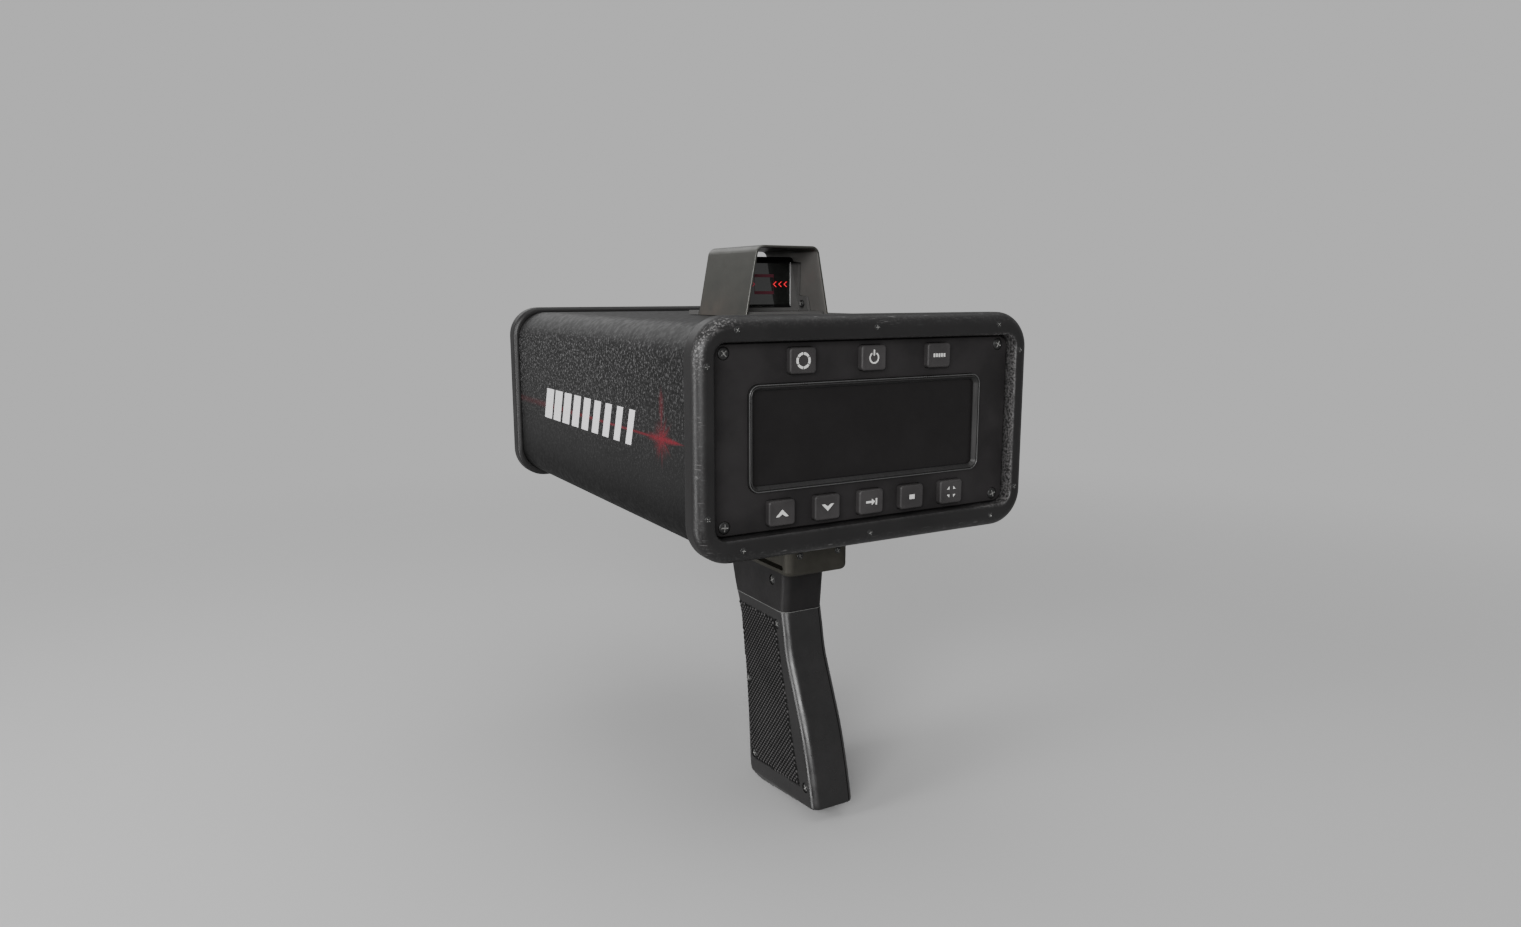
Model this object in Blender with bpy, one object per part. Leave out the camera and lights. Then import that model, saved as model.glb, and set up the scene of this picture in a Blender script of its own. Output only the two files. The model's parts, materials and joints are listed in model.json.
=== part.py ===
"""Hand-held speed measuring gun: a wide optics body carried on a raked battery grip.

Lengths are in millimetres while a piece is drawn and become metres when its object is made.
Pieces are drawn in the body frame: X to the operator's right, Y forward to the lenses, Z up,
with the zero point at the centre of the rear control panel's face. The empty body_frame then
moves them all, so that the part's origin is the point in the grip where the hand closes.
"""

from math import atan2, cos, pi, radians, sin

import bmesh
import bpy
from mathutils import Matrix, Vector

MM = 0.001
GAP = 0.3                      # clearance between neighbouring pieces
CORNER_STEPS = 6               # straight pieces in one rounded corner

# ------------------------------------------------------------------ driving dimensions
HAND = Vector((0.0, 77.5, -167.5))         # middle of the hand on the grip, in the body frame

SHELL = (100.2, 56.5, 18.9)                # half width, half height, corner radius
SHELL_WALL = 2.5
BUMPER = (103.7, 59.8, 19.8)
OPENING = (93.7, 47.3, 6.5)                # the bumper's inner edge
ISLAND = (92.6, 46.4, 5.6)                 # raised face of an end panel
PANEL_DEPTH = 3.0                          # from an island's face to its flange
FLANGE_DEPTH = 2.0
RECESS = 6.5                               # the panel face lies this far inside the bumper
LIP_DEPTH = 8.6                            # the bumper's lip reaches this far along the shell
FRONT_FACE = 285.9                         # Y of the front panel's face; the rear one is at 0

DISPLAY = (72.8, 26.5, 5.6)                # bezel outline
BEZEL_WIDTH = 2.9
BEZEL_PROUD = 1.7
BUTTON = (7.7, 6.5, 1.9)                   # outline of a key
BUTTON_PROUD = 3.3
TOP_ROW = 37.5
BOTTOM_ROW = -37.5
BUTTONS = {
    "target_button": (-43.3, TOP_ROW),
    "power_button": (-0.6, TOP_ROW),
    "memory_button": (42.1, TOP_ROW),
    "up_button": (-55.1, BOTTOM_ROW),
    "down_button": (-28.0, BOTTOM_ROW),
    "exit_button": (-0.6, BOTTOM_ROW),
    "stop_button": (26.1, BOTTOM_ROW),
    "aim_button": (53.3, BOTTOM_ROW),
}
PANEL_SCREW = (86.0, 42.1)                 # half spacings of the four panel screws
POST_NEAR, POST_FAR = (81.5, 37.6), (94.0, 50.5)   # inner and outer corner of a screw post
POST_LENGTH = 14.0

RECEIVER = {"x": 42.0, "lens": 37.7, "tail": 20.0, "back": 190.0}
TRANSMITTER = {"x": -50.0, "lens": 24.7, "tail": 12.0, "back": 215.0}
BARREL_WALL = 2.0

HOOD_REAR, HOOD_FRONT = 81.7, 141.0
HOOD_FOOT, HOOD_BROW = 28.2, 20.6          # half widths at the foot and at the top
HOOD_TOP = 96.8
HOOD_SHEET = 1.5
SIGHT_FLOOR = SHELL[1] + GAP               # the sight stands on the shell
BASE_TOP = SIGHT_FLOOR + 2.5
FRAME_REAR, FRAME_FRONT = 108.4, 111.8
WINDOW = (18.2, 62.0, 88.6)                # half width, lower and upper edge of the sight window
FRAME_TOP = 91.2
HOOD_SCREW = (102.3, 63.6)                 # Y and Z of the screws that hold the hood

BRACKET = (21.0, 47.0, 137.6)              # half width, rear and front
BRACKET_TOP = -SHELL[1] - GAP
BRACKET_BOTTOM = -89.0
RAIL_SLOT = {"rear": 52.0, "low": -85.6, "high": -82.8, "depth": 5.0}
SOCKET = 2.0                               # how far the neck is let into the bracket

NECK_TOP = BRACKET_BOTTOM + SOCKET - GAP
NECK_HEAD = (15.0, 60.2, 129.9)            # half width, rear and front of the neck's top
SEAM = -115.0                              # joint between the neck and the grip
# height, half width, rear and front of the neck
NECK_SECTIONS = [(NECK_TOP, *NECK_HEAD), (BRACKET_BOTTOM, *NECK_HEAD), (-92.5, 14.3, 60.9, 129.2),
                 (-99.8, 14.0, 61.4, 128.0), (SEAM + GAP / 2, 14.0, 63.0, 122.7)]
GRIP_HALF = 14.0
# half width, then the rear and the front end of each slanted section of the grip
GRIP_SECTIONS = [(14.0, (62.3, SEAM - GAP / 2), (122.4, SEAM - GAP / 2)),
                 (14.0, (60.0, -125.5), (118.0, -125.5)),
                 (14.0, (56.4, -140.9), (114.5, -141.0)),
                 (14.0, (48.7, -158.8), (111.0, -162.5)),
                 (14.0, (39.0, -181.7), (108.6, -185.8)),
                 (14.0, (32.3, -203.2), (106.8, -209.0)),
                 (14.0, (28.0, -221.0), (105.3, -226.0)),
                 (13.2, (28.5, -223.4), (102.0, -229.8)),
                 (11.6, (30.7, -224.9), (95.6, -232.2))]
GRIP_RADIUS = 5.2
CORE_HALF = 9.9                            # the side covers start GAP outside the core
NECK_SCREW = (75.8, -97.5)
GRIP_SCREWS = [(70.4, -123.3), (105.0, -168.7), (97.3, -215.9), (37.8, -212.9)]

BATTERY = (7.5, 18.6, 80.0)                # half thickness, half depth, length
BATTERY_FOOT = (62.0, -227.0)
BATTERY_HEAD = (84.0, -135.0)
DOOR = {"start": 6.9, "end": 54.0, "half": 8.6, "thick": 2.6, "knuckle": 2.2, "pin": 1.0}

TRIGGER_PIVOT = (122.0, -97.0)
TRIGGER_SLOT = {"half": 6.4, "rear": 106.0, "low": -113.0, "high": -92.8}
TRIGGER_PIN = 1.5

# colour, roughness, metallic
MATERIALS = {
    "shell_paint": ((0.045, 0.045, 0.047), 0.55, 0.0),
    "bumper_rubber": ((0.028, 0.028, 0.030), 0.60, 0.0),
    "panel_plastic": ((0.030, 0.028, 0.029), 0.55, 0.0),
    "button_plastic": ((0.045, 0.043, 0.043), 0.45, 0.0),
    "bezel_metal": ((0.16, 0.16, 0.16), 0.30, 1.0),
    "dark_glass": ((0.015, 0.014, 0.015), 0.08, 0.0),
    "lens_glass": ((0.55, 0.60, 0.68), 0.03, 0.0),
    "hood_paint": ((0.080, 0.080, 0.072), 0.45, 0.0),
    "bracket_aluminium": ((0.075, 0.073, 0.068), 0.45, 1.0),
    "grip_plastic": ((0.042, 0.041, 0.041), 0.50, 0.0),
    "steel": ((0.45, 0.45, 0.46), 0.30, 1.0),
    "circuit_board": ((0.02, 0.10, 0.04), 0.50, 0.0),
    "inner_plastic": ((0.03, 0.03, 0.03), 0.50, 0.0),
    "battery_wrap": ((0.02, 0.05, 0.14), 0.40, 0.0),
}


# ------------------------------------------------------------------ scene and materials
def clear_scene():
    for obj in list(bpy.data.objects):
        bpy.data.objects.remove(obj)


def make_materials():
    made = {}
    for name, (colour, roughness, metallic) in MATERIALS.items():
        material = bpy.data.materials.new(name)
        material.use_nodes = True
        shader = material.node_tree.nodes["Principled BSDF"]
        shader.inputs["Base Color"].default_value = (*colour, 1.0)
        shader.inputs["Roughness"].default_value = roughness
        shader.inputs["Metallic"].default_value = metallic
        made[name] = material
    return made


clear_scene()
materials = make_materials()
body_frame = bpy.data.objects.new("body_frame", None)
body_frame.location = -HAND * MM
bpy.context.collection.objects.link(body_frame)


# ------------------------------------------------------------------ outlines
def rounded(half_u, half_v, radius, steps=CORNER_STEPS):
    """Corners of a rounded rectangle about (0, 0), as (u, v) points, anticlockwise."""
    points = []
    for quarter, (su, sv) in enumerate([(1, -1), (1, 1), (-1, 1), (-1, -1)]):
        for i in range(steps + 1):
            angle = pi / 2 * (quarter - 1 + i / steps)
            points.append((su * (half_u - radius) + radius * cos(angle),
                           sv * (half_v - radius) + radius * sin(angle)))
    return points


def upright_ring(outline, y, centre=(0.0, 0.0), steps=CORNER_STEPS):
    """A rounded rectangle standing across the body at depth y."""
    return [(centre[0] + u, y, centre[1] + v) for u, v in rounded(*outline, steps)]


def level_ring(half_width, rear, front, radius, z, steps=4):
    """A rounded rectangle lying level at height z."""
    middle = (rear + front) / 2
    return [(u, middle + v, z) for u, v in rounded(half_width, (front - rear) / 2, radius, steps)]


def slanted_ring(half_width, rear, front, radius, steps=5):
    """A rounded rectangle whose long axis runs from the point rear to the point front."""
    along = Vector(front) - Vector(rear)
    middle = (Vector(front) + Vector(rear)) / 2
    unit = along.normalized()
    ring = []
    for u, v in rounded(half_width, along.length / 2, radius, steps):
        spot = middle + unit * v
        ring.append((u, spot.x, spot.y))
    return ring


def mix(first, second, share):
    return tuple(a + (b - a) * share for a, b in zip(first, second))


# ------------------------------------------------------------------ solids in millimetres
def loft(bm, rings, closed=False):
    """Join rings of equal length; the ends are capped, or joined to each other if closed."""
    rows = [[bm.verts.new(point) for point in ring] for ring in rings]
    for low, high in zip(rows, rows[1:] + rows[:1] if closed else rows[1:]):
        for i in range(len(low)):
            bm.faces.new((low[i - 1], low[i], high[i], high[i - 1]))
    if not closed:
        bm.faces.new(rows[0])
        bm.faces.new(rows[-1])


def block(bm, low, high, matrix=None):
    """A cuboid between two opposite corners, turned by matrix if one is given."""
    corners = [(low[0], low[1]), (high[0], low[1]), (high[0], high[1]), (low[0], high[1])]
    rings = [[Vector((x, y, z)) for x, y in corners] for z in (low[2], high[2])]
    if matrix:
        rings = [[matrix @ point for point in ring] for ring in rings]
    loft(bm, rings)


def prism(bm, outline, low_x, high_x):
    """An outline of (y, z) points drawn out along X."""
    loft(bm, [[(x, y, z) for y, z in outline] for x in (low_x, high_x)])


def turned(bm, profile, centre, axis, segments=24, closed=False):
    """Turn a profile of (radius, distance along the axis) points about an axis."""
    turn = Vector((0, 0, 1)).rotation_difference(Vector(axis)).to_matrix()
    rings = []
    for radius, along in profile:
        ring = []
        for i in range(segments):
            angle = 2 * pi * i / segments
            spoke = Vector((radius * cos(angle), radius * sin(angle), along))
            ring.append(Vector(centre) + turn @ spoke)
        rings.append(ring)
    loft(bm, rings, closed)


def rod(bm, centre, axis, radius, low, high, segments=16):
    turned(bm, [(radius, low), (radius, high)], centre, axis, segments)


# ------------------------------------------------------------------ objects
def piece(name, bm, material, origin=(0.0, 0.0, 0.0)):
    """Make a named object, in metres, whose own origin is at the given body-frame point."""
    bmesh.ops.recalc_face_normals(bm, faces=bm.faces)
    bmesh.ops.translate(bm, verts=bm.verts, vec=-Vector(origin))
    bmesh.ops.scale(bm, verts=bm.verts, vec=(MM, MM, MM))
    mesh = bpy.data.meshes.new(name)
    bm.to_mesh(mesh)
    bm.free()
    mesh.materials.append(materials[material])
    mesh.shade_smooth()
    mesh.set_sharp_from_angle(angle=radians(35))
    obj = bpy.data.objects.new(name, mesh)
    bpy.context.collection.objects.link(obj)
    obj.parent = body_frame
    obj.location = Vector(origin) * MM
    return obj


def boolean(obj, bm, operation):
    """Cut the tool bm from the object, or join it on."""
    tool = piece(f"{obj.name}_{operation.lower()}", bm, "inner_plastic")
    tool.hide_render = True
    tool.display_type = "WIRE"
    modifier = obj.modifiers.new(operation.title(), "BOOLEAN")
    modifier.operation = operation
    modifier.solver = "EXACT"
    modifier.object = tool


def lofted(name, rings, material, closed=False, origin=(0.0, 0.0, 0.0)):
    bm = bmesh.new()
    loft(bm, rings, closed)
    return piece(name, bm, material, origin)


def screw(name, centre, axis, head_radius, head_height, shank_radius, shank_length, segments=12):
    """A pan head screw with a cross recess; centre is the middle of the head's underside."""
    bm = bmesh.new()
    edge = head_height * 0.35
    turned(bm, [(shank_radius, -shank_length), (shank_radius, 0.0), (head_radius, 0.0),
                (head_radius, head_height - edge), (head_radius - edge, head_height)],
           centre, axis, segments)
    obj = piece(name, bm, "steel")
    arm, half = head_radius * 0.62, head_radius * 0.13
    cross = [(arm, -half), (arm, half), (half, half), (half, arm), (-half, arm), (-half, half),
             (-arm, half), (-arm, -half), (-half, -half), (-half, -arm), (half, -arm), (half, -half)]
    turn = Vector((0, 0, 1)).rotation_difference(Vector(axis)).to_matrix()
    tool = bmesh.new()
    loft(tool, [[Vector(centre) + turn @ Vector((u, v, z)) for u, v in cross]
                for z in (head_height * 0.3, head_height + 1.0)])
    boolean(obj, tool, "DIFFERENCE")
    return obj


# ------------------------------------------------------------------ body
def body_shell():
    """A straight tube with a screw post in each rear corner."""
    inner = (SHELL[0] - SHELL_WALL, SHELL[1] - SHELL_WALL, SHELL[2] - SHELL_WALL)
    rear, front = PANEL_DEPTH, FRONT_FACE - PANEL_DEPTH
    rings = [upright_ring(SHELL, rear), upright_ring(SHELL, front),
             upright_ring(inner, front), upright_ring(inner, rear)]
    shell = lofted("body_shell", rings, "shell_paint", closed=True)
    post_rear = PANEL_DEPTH + FLANGE_DEPTH + GAP
    posts, holes = bmesh.new(), bmesh.new()
    for side in (-1, 1):
        for level in (-1, 1):
            left, right = sorted((side * POST_NEAR[0], side * POST_FAR[0]))
            low, high = sorted((level * POST_NEAR[1], level * POST_FAR[1]))
            block(posts, (left, post_rear, low), (right, post_rear + POST_LENGTH, high))
            rod(holes, (side * PANEL_SCREW[0], 0, level * PANEL_SCREW[1]), (0, 1, 0), 1.7,
                post_rear - 1.0, post_rear + POST_LENGTH - 3.0, 8)
    boolean(shell, posts, "UNION")
    boolean(shell, holes, "DIFFERENCE")


def bumper(name, place):
    """A soft end ring; place turns a depth behind its open face into Y."""
    fit = tuple(size + GAP for size in SHELL)
    step = RECESS + PANEL_DEPTH - GAP
    end = RECESS + LIP_DEPTH
    round_depth, face_start, face_end, lip_round = 6.5, 0.58, 0.80, 1.6
    rings = [upright_ring(fit, place(step)), upright_ring(fit, place(end)),
             upright_ring(mix(BUMPER, fit, 0.25), place(end)), upright_ring(BUMPER, place(end - 0.8))]
    for i in range(5):
        angle = pi / 2 * i / 4
        share = face_start * (1 - cos(angle))
        rings.append(upright_ring(mix(BUMPER, OPENING, share), place(round_depth * (1 - sin(angle)))))
    rings.append(upright_ring(mix(BUMPER, OPENING, face_end), place(0.0)))
    rings.append(upright_ring(mix(BUMPER, OPENING, 0.94), place(lip_round * 0.3)))
    rings.append(upright_ring(OPENING, place(lip_round)))
    rings.append(upright_ring(OPENING, place(step)))
    lofted(name, rings, "bumper_rubber", closed=True)


def panel_rings(place):
    """An end panel: a raised island on a wider flange that seats inside the shell."""
    flange = tuple(size - SHELL_WALL - GAP for size in SHELL)
    soft = (ISLAND[0] - 0.4, ISLAND[1] - 0.4, ISLAND[2] - 0.4)
    back = PANEL_DEPTH + FLANGE_DEPTH
    return [upright_ring(flange, place(back)), upright_ring(flange, place(PANEL_DEPTH + GAP)),
            upright_ring(ISLAND, place(PANEL_DEPTH + GAP)), upright_ring(ISLAND, place(0.4)),
            upright_ring(soft, place(0.0))]


def rear_panel():
    panel = lofted("rear_panel", panel_rings(lambda depth: depth), "panel_plastic")
    back = PANEL_DEPTH + FLANGE_DEPTH + 1.0
    tool = bmesh.new()
    hole = tuple(size + GAP for size in DISPLAY)
    loft(tool, [upright_ring(hole, -1.0, steps=5), upright_ring(hole, back, steps=5)])
    well = tuple(size + GAP for size in BUTTON)
    for centre in BUTTONS.values():
        loft(tool, [upright_ring(well, -1.0, centre, 3), upright_ring(well, back, centre, 3)])
    for side in (-1, 1):
        for level in (-1, 1):
            turned(tool, [(1.7, back), (1.7, 1.0), (3.3, 1.0), (3.3, -1.0)],
                   (side * PANEL_SCREW[0], 0, level * PANEL_SCREW[1]), (0, 1, 0), 16)
    boolean(panel, tool, "DIFFERENCE")


def panel_screws():
    number = 1
    for level in (1, -1):
        for side in (-1, 1):
            screw(f"panel_screw_{number}", (side * PANEL_SCREW[0], 0.7, level * PANEL_SCREW[1]),
                  (0, -1, 0), 3.0, 1.3, 1.4, 12.0, 16)
            number += 1


def display():
    """The bezel's ring, the window behind its lip and the display module behind that."""
    def ring(inset, y):
        return upright_ring(tuple(max(size - inset, 1.0) for size in DISPLAY), y, steps=5)

    front, groove = -BEZEL_PROUD, -BEZEL_PROUD + 0.5
    profile = [(0.0, 4.0), (0.0, front + 0.2), (0.25, front), (0.8, front), (1.0, groove), (1.4, groove),
               (1.6, front + 0.1), (2.0, front), (BEZEL_WIDTH, 0.3), (BEZEL_WIDTH, 1.2), (1.2, 1.2),
               (1.2, 4.0)]
    lofted("display_bezel", [ring(*point) for point in profile], "bezel_metal", closed=True)
    lofted("display_window", [ring(1.5, 3.5), ring(1.5, 1.5)], "dark_glass")
    module = lofted("display_module", [ring(1.6, 3.8), ring(1.6, 13.0)], "inner_plastic")
    socket = bmesh.new()
    block(socket, (-22.0, 12.0, -6.0), (22.0, 16.5, 6.0))
    boolean(module, socket, "UNION")


def keypad_board():
    """A circuit board round the display, with a dome switch behind every button."""
    board = lofted("keypad_board", [upright_ring((80.0, 50.0, 4.0), 10.0, steps=2),
                                    upright_ring((80.0, 50.0, 4.0), 11.6, steps=2)], "circuit_board")
    window, domes = bmesh.new(), bmesh.new()
    block(window, (-74.0, 9.0, -28.0), (74.0, 13.0, 28.0))
    for x, z in BUTTONS.values():
        turned(domes, [(4.0, 10.8), (4.0, 9.2), (2.6, 8.1)], (x, 0, z), (0, 1, 0), 10)
    boolean(board, window, "DIFFERENCE")
    boolean(board, domes, "UNION")


def buttons():
    """Keys with soft edges, each kept in by a flange behind the panel."""
    flange_front = PANEL_DEPTH + FLANGE_DEPTH + GAP
    flange = (BUTTON[0] + 1.2, BUTTON[1] + 1.2, BUTTON[2])
    for name, centre in BUTTONS.items():
        def ring(outline, inset, y):
            return upright_ring(tuple(size - inset for size in outline), y, centre, 3)

        rings = [ring(flange, 0.0, flange_front + 1.2), ring(flange, 0.0, flange_front),
                 ring(BUTTON, 0.0, flange_front), ring(BUTTON, 0.0, -BUTTON_PROUD + 1.0),
                 ring(BUTTON, 0.3, -BUTTON_PROUD + 0.3), ring(BUTTON, 1.0, -BUTTON_PROUD)]
        lofted(name, rings, "button_plastic", origin=(centre[0], 0.0, centre[1]))


# ------------------------------------------------------------------ front end
def optics(name, spec):
    """One lens with its barrel and retaining ring; returns the barrel's outer radius."""
    centre, forward = (spec["x"], 0, 0), (0, 1, 0)
    lens, tail, back = spec["lens"], spec["tail"], spec["back"]
    bore = lens + GAP
    outer = bore + BARREL_WALL
    end = FRONT_FACE - 0.4
    middle = (lens + tail) / 2
    bm = bmesh.new()
    turned(bm, [(outer, end), (outer, end - 34.0), (middle + BARREL_WALL, end - 40.0),
                (tail + BARREL_WALL, back), (tail, back), (middle, end - 41.0), (bore, end - 35.0),
                (bore, end)], centre, forward, 28, closed=True)
    piece(f"{name}_barrel", bm, "inner_plastic")
    bm = bmesh.new()
    turned(bm, [(lens * 0.45, end - 8.4), (lens, end - 7.0), (lens, end - 3.5), (lens * 0.8, end - 1.6),
                (lens * 0.5, end - 0.5), (lens * 0.16, end)], centre, forward, 28)
    piece(f"{name}_lens", bm, "lens_glass")
    face = FRONT_FACE + GAP
    bm = bmesh.new()
    turned(bm, [(outer + 3.4, face), (outer + 3.4, face + 2.2), (outer + 2.6, face + 3.0),
                (lens - 0.6, face + 3.0), (lens - 1.6, face + 1.6), (lens - 1.6, face)],
           centre, forward, 28, closed=True)
    piece(f"{name}_ring", bm, "inner_plastic")
    return outer


def front_end():
    panel = lofted("front_panel", panel_rings(lambda depth: FRONT_FACE - depth), "panel_plastic")
    tool = bmesh.new()
    for name, spec in (("receiver", RECEIVER), ("transmitter", TRANSMITTER)):
        outer = optics(name, spec)
        rod(tool, (spec["x"], 0, 0), (0, 1, 0), outer + GAP, FRONT_FACE - 8.0, FRONT_FACE + 3.0, 28)
    boolean(panel, tool, "DIFFERENCE")
    bm = bmesh.new()
    turned(bm, [(21.0, 189.7), (21.0, 178.0), (15.0, 178.0), (15.0, 168.0)],
           (RECEIVER["x"], 0, 0), (0, 1, 0), 16)
    piece("detector_module", bm, "bracket_aluminium")
    bm = bmesh.new()
    turned(bm, [(13.0, 214.7), (13.0, 204.0), (8.0, 204.0), (8.0, 188.0)],
           (TRANSMITTER["x"], 0, 0), (0, 1, 0), 16)
    piece("laser_module", bm, "bracket_aluminium")


# ------------------------------------------------------------------ inside
def electronics():
    """The chassis tray with the main board and the beeper on it."""
    bm = bmesh.new()
    half, low, sheet, wall = 84.0, -51.0, 1.5, 12.0
    outline = [(-half, low), (half, low), (half, low + wall), (half - sheet, low + wall),
               (half - sheet, low + sheet), (-half + sheet, low + sheet),
               (-half + sheet, low + wall), (-half, low + wall)]
    loft(bm, [[(x, y, z) for x, z in outline] for y in (24.0, 262.0)])
    piece("chassis_tray", bm, "bracket_aluminium")
    bm = bmesh.new()
    block(bm, (-70.0, 34.0, -47.0), (70.0, 160.0, -45.4))
    board = piece("main_board", bm, "circuit_board")
    parts = bmesh.new()
    for x, y, wide, long, tall in [(-22, 66, 30, 30, 3), (26, 70, 22, 22, 3), (44, 120, 26, 34, 11),
                                   (-10, 128, 40, 14, 4), (-52, 120, 16, 22, 7)]:
        block(parts, (x - wide / 2, y - long / 2, -46.0), (x + wide / 2, y + long / 2, -45.4 + tall))
    boolean(board, parts, "UNION")
    bm = bmesh.new()
    turned(bm, [(8.0, 0.0), (8.0, 7.0), (2.0, 7.0), (2.0, 5.0)], (-54.0, 66.0, -45.1), (0, 0, 1), 16)
    piece("buzzer", bm, "inner_plastic")


# ------------------------------------------------------------------ sight
def hood_half_width(z):
    """Half width of the hood's outer face, which leans in evenly from foot to top."""
    return HOOD_FOOT + (HOOD_BROW - HOOD_FOOT) * (z - SIGHT_FLOOR) / (HOOD_TOP - SIGHT_FLOOR)


def hood_outline(inset):
    """The hood's arch from the left foot over the top to the right foot, inset by the sheet."""
    lean = atan2(HOOD_FOOT - HOOD_BROW, HOOD_TOP - SIGHT_FLOOR)
    radius, top = 5.2 - inset, HOOD_TOP - inset
    foot = HOOD_FOOT - inset / cos(lean)
    slope = (HOOD_FOOT - HOOD_BROW) / (HOOD_TOP - SIGHT_FLOOR)
    centre_z = top - radius
    centre_x = foot - slope * (centre_z - SIGHT_FLOOR) - radius / cos(lean)
    right = [(foot, SIGHT_FLOOR)]
    for i in range(6):
        angle = lean + (pi / 2 - lean) * i / 5
        right.append((centre_x + radius * cos(angle), centre_z + radius * sin(angle)))
    return [(-x, z) for x, z in right] + right[::-1]


def sight_hood():
    outline = hood_outline(0.0) + hood_outline(HOOD_SHEET)[::-1]
    hood = lofted("sight_hood", [[(x, y, z) for x, z in outline] for y in (HOOD_REAR, HOOD_FRONT)],
                  "hood_paint")
    y, z = HOOD_SCREW
    tool = bmesh.new()
    for side in (-1, 1):
        rod(tool, (side * hood_half_width(z), y, z), (side, 0, 0), 1.5, -4.0, 3.0, 10)
    boolean(hood, tool, "DIFFERENCE")


def sight_frame():
    """The base plate, an upright window frame on it and a lug for each hood screw."""
    bm = bmesh.new()
    inner, outer, rear, step, front = 25.6, 28.2, 84.0, HOOD_FRONT + GAP, 158.0
    right = [(inner, rear), (inner, step), (outer, step), (outer, front - 5.0), (outer - 5.0, front)]
    plan = right + [(-x, y) for x, y in reversed(right)]
    loft(bm, [[(x, y, z) for x, y in plan] for z in (SIGHT_FLOOR, BASE_TOP)])
    frame = piece("sight_frame", bm, "hood_paint")
    margin = HOOD_SHEET + 2 * GAP
    low_half = hood_half_width(BASE_TOP) - margin
    high_half = hood_half_width(FRAME_TOP) - margin
    upright = bmesh.new()
    sunk = BASE_TOP - 1.0
    face = [(-low_half, sunk), (low_half, sunk), (high_half, FRAME_TOP), (-high_half, FRAME_TOP)]
    loft(upright, [[(x, y, z) for x, z in face] for y in (FRAME_REAR, FRAME_FRONT)])
    boolean(frame, upright, "UNION")
    lugs = bmesh.new()
    y, z = HOOD_SCREW
    for side in (-1, 1):
        lean = Matrix.Rotation(-side * atan2(HOOD_FOOT - HOOD_BROW, HOOD_TOP - SIGHT_FLOOR), 3, "Y")
        middle = Vector((side * (hood_half_width(z) - HOOD_SHEET - 1.4), 0, z))
        shift = Matrix.Translation(middle) @ lean.to_4x4() @ Matrix.Translation(-middle)
        block(lugs, (middle.x - 0.8, y - 4.5, sunk), (middle.x + 0.8, FRAME_REAR + 1.0, z + 4.0), shift)
    boolean(frame, lugs, "UNION")
    holes = bmesh.new()
    half, low, high = WINDOW
    block(holes, (-half, FRAME_REAR - 1.0, low), (half, FRAME_FRONT + 1.0, high))
    for side in (-1, 1):
        rod(holes, (side * (hood_half_width(z) - HOOD_SHEET), y, z), (side, 0, 0), 1.5, -3.4, 1.0, 10)
    boolean(frame, holes, "DIFFERENCE")


def sight_parts():
    """The sight glass, the projector that lights its mark and the two hood screws."""
    half, low, high = WINDOW
    middle = (low + high) / 2
    pane = (half - GAP, (high - low) / 2 - GAP, 0.6)
    lofted("sight_glass", [upright_ring(pane, y, (0.0, middle), 2) for y in (109.4, 111.0)], "lens_glass")
    bm = bmesh.new()
    loft(bm, [level_ring(7.0, 116.0, 134.0, 2.0, BASE_TOP + GAP, 2),
              level_ring(7.0, 116.0, 134.0, 2.0, low - 1.0, 2),
              level_ring(6.4, 116.6, 133.4, 1.8, low - 0.4, 2)])
    piece("sight_projector", bm, "inner_plastic")
    y, z = HOOD_SCREW
    for side, name in ((-1, "left"), (1, "right")):
        face = hood_half_width(z) - HOOD_SHEET - 3.0
        screw(f"hood_screw_{name}", (side * face, y, z), (-side, 0, 0), 2.2, 1.2, 1.2, 3.2, 10)


# ------------------------------------------------------------------ bracket, neck and trigger
def rail_bracket():
    half, rear, front = BRACKET
    soft = 3.0
    rings = []
    for angle in (0.0, pi / 6, pi / 3, pi / 2):
        inset = soft * (1 - sin(angle))
        height = BRACKET_BOTTOM + soft * (1 - cos(angle))
        rings.append(level_ring(half - inset, rear + inset, front - inset, 5.0 - inset, height))
    rings.append(level_ring(half, rear, front, 5.0, BRACKET_TOP))
    bracket = lofted("rail_bracket", rings, "bracket_aluminium")
    tool = bmesh.new()
    for side in (-1, 1):
        edges = sorted((side * (half - RAIL_SLOT["depth"]), side * (half + 2.0)))
        block(tool, (edges[0], RAIL_SLOT["rear"], RAIL_SLOT["low"]),
              (edges[1], front + 2.0, RAIL_SLOT["high"]))
    boolean(bracket, tool, "DIFFERENCE")
    half, rear, front = NECK_HEAD
    socket = bmesh.new()
    loft(socket, [level_ring(half + GAP, rear - GAP, front + GAP, GRIP_RADIUS + GAP, z)
                  for z in (BRACKET_BOTTOM - 1.0, BRACKET_BOTTOM + SOCKET)])
    boolean(bracket, socket, "DIFFERENCE")


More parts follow.
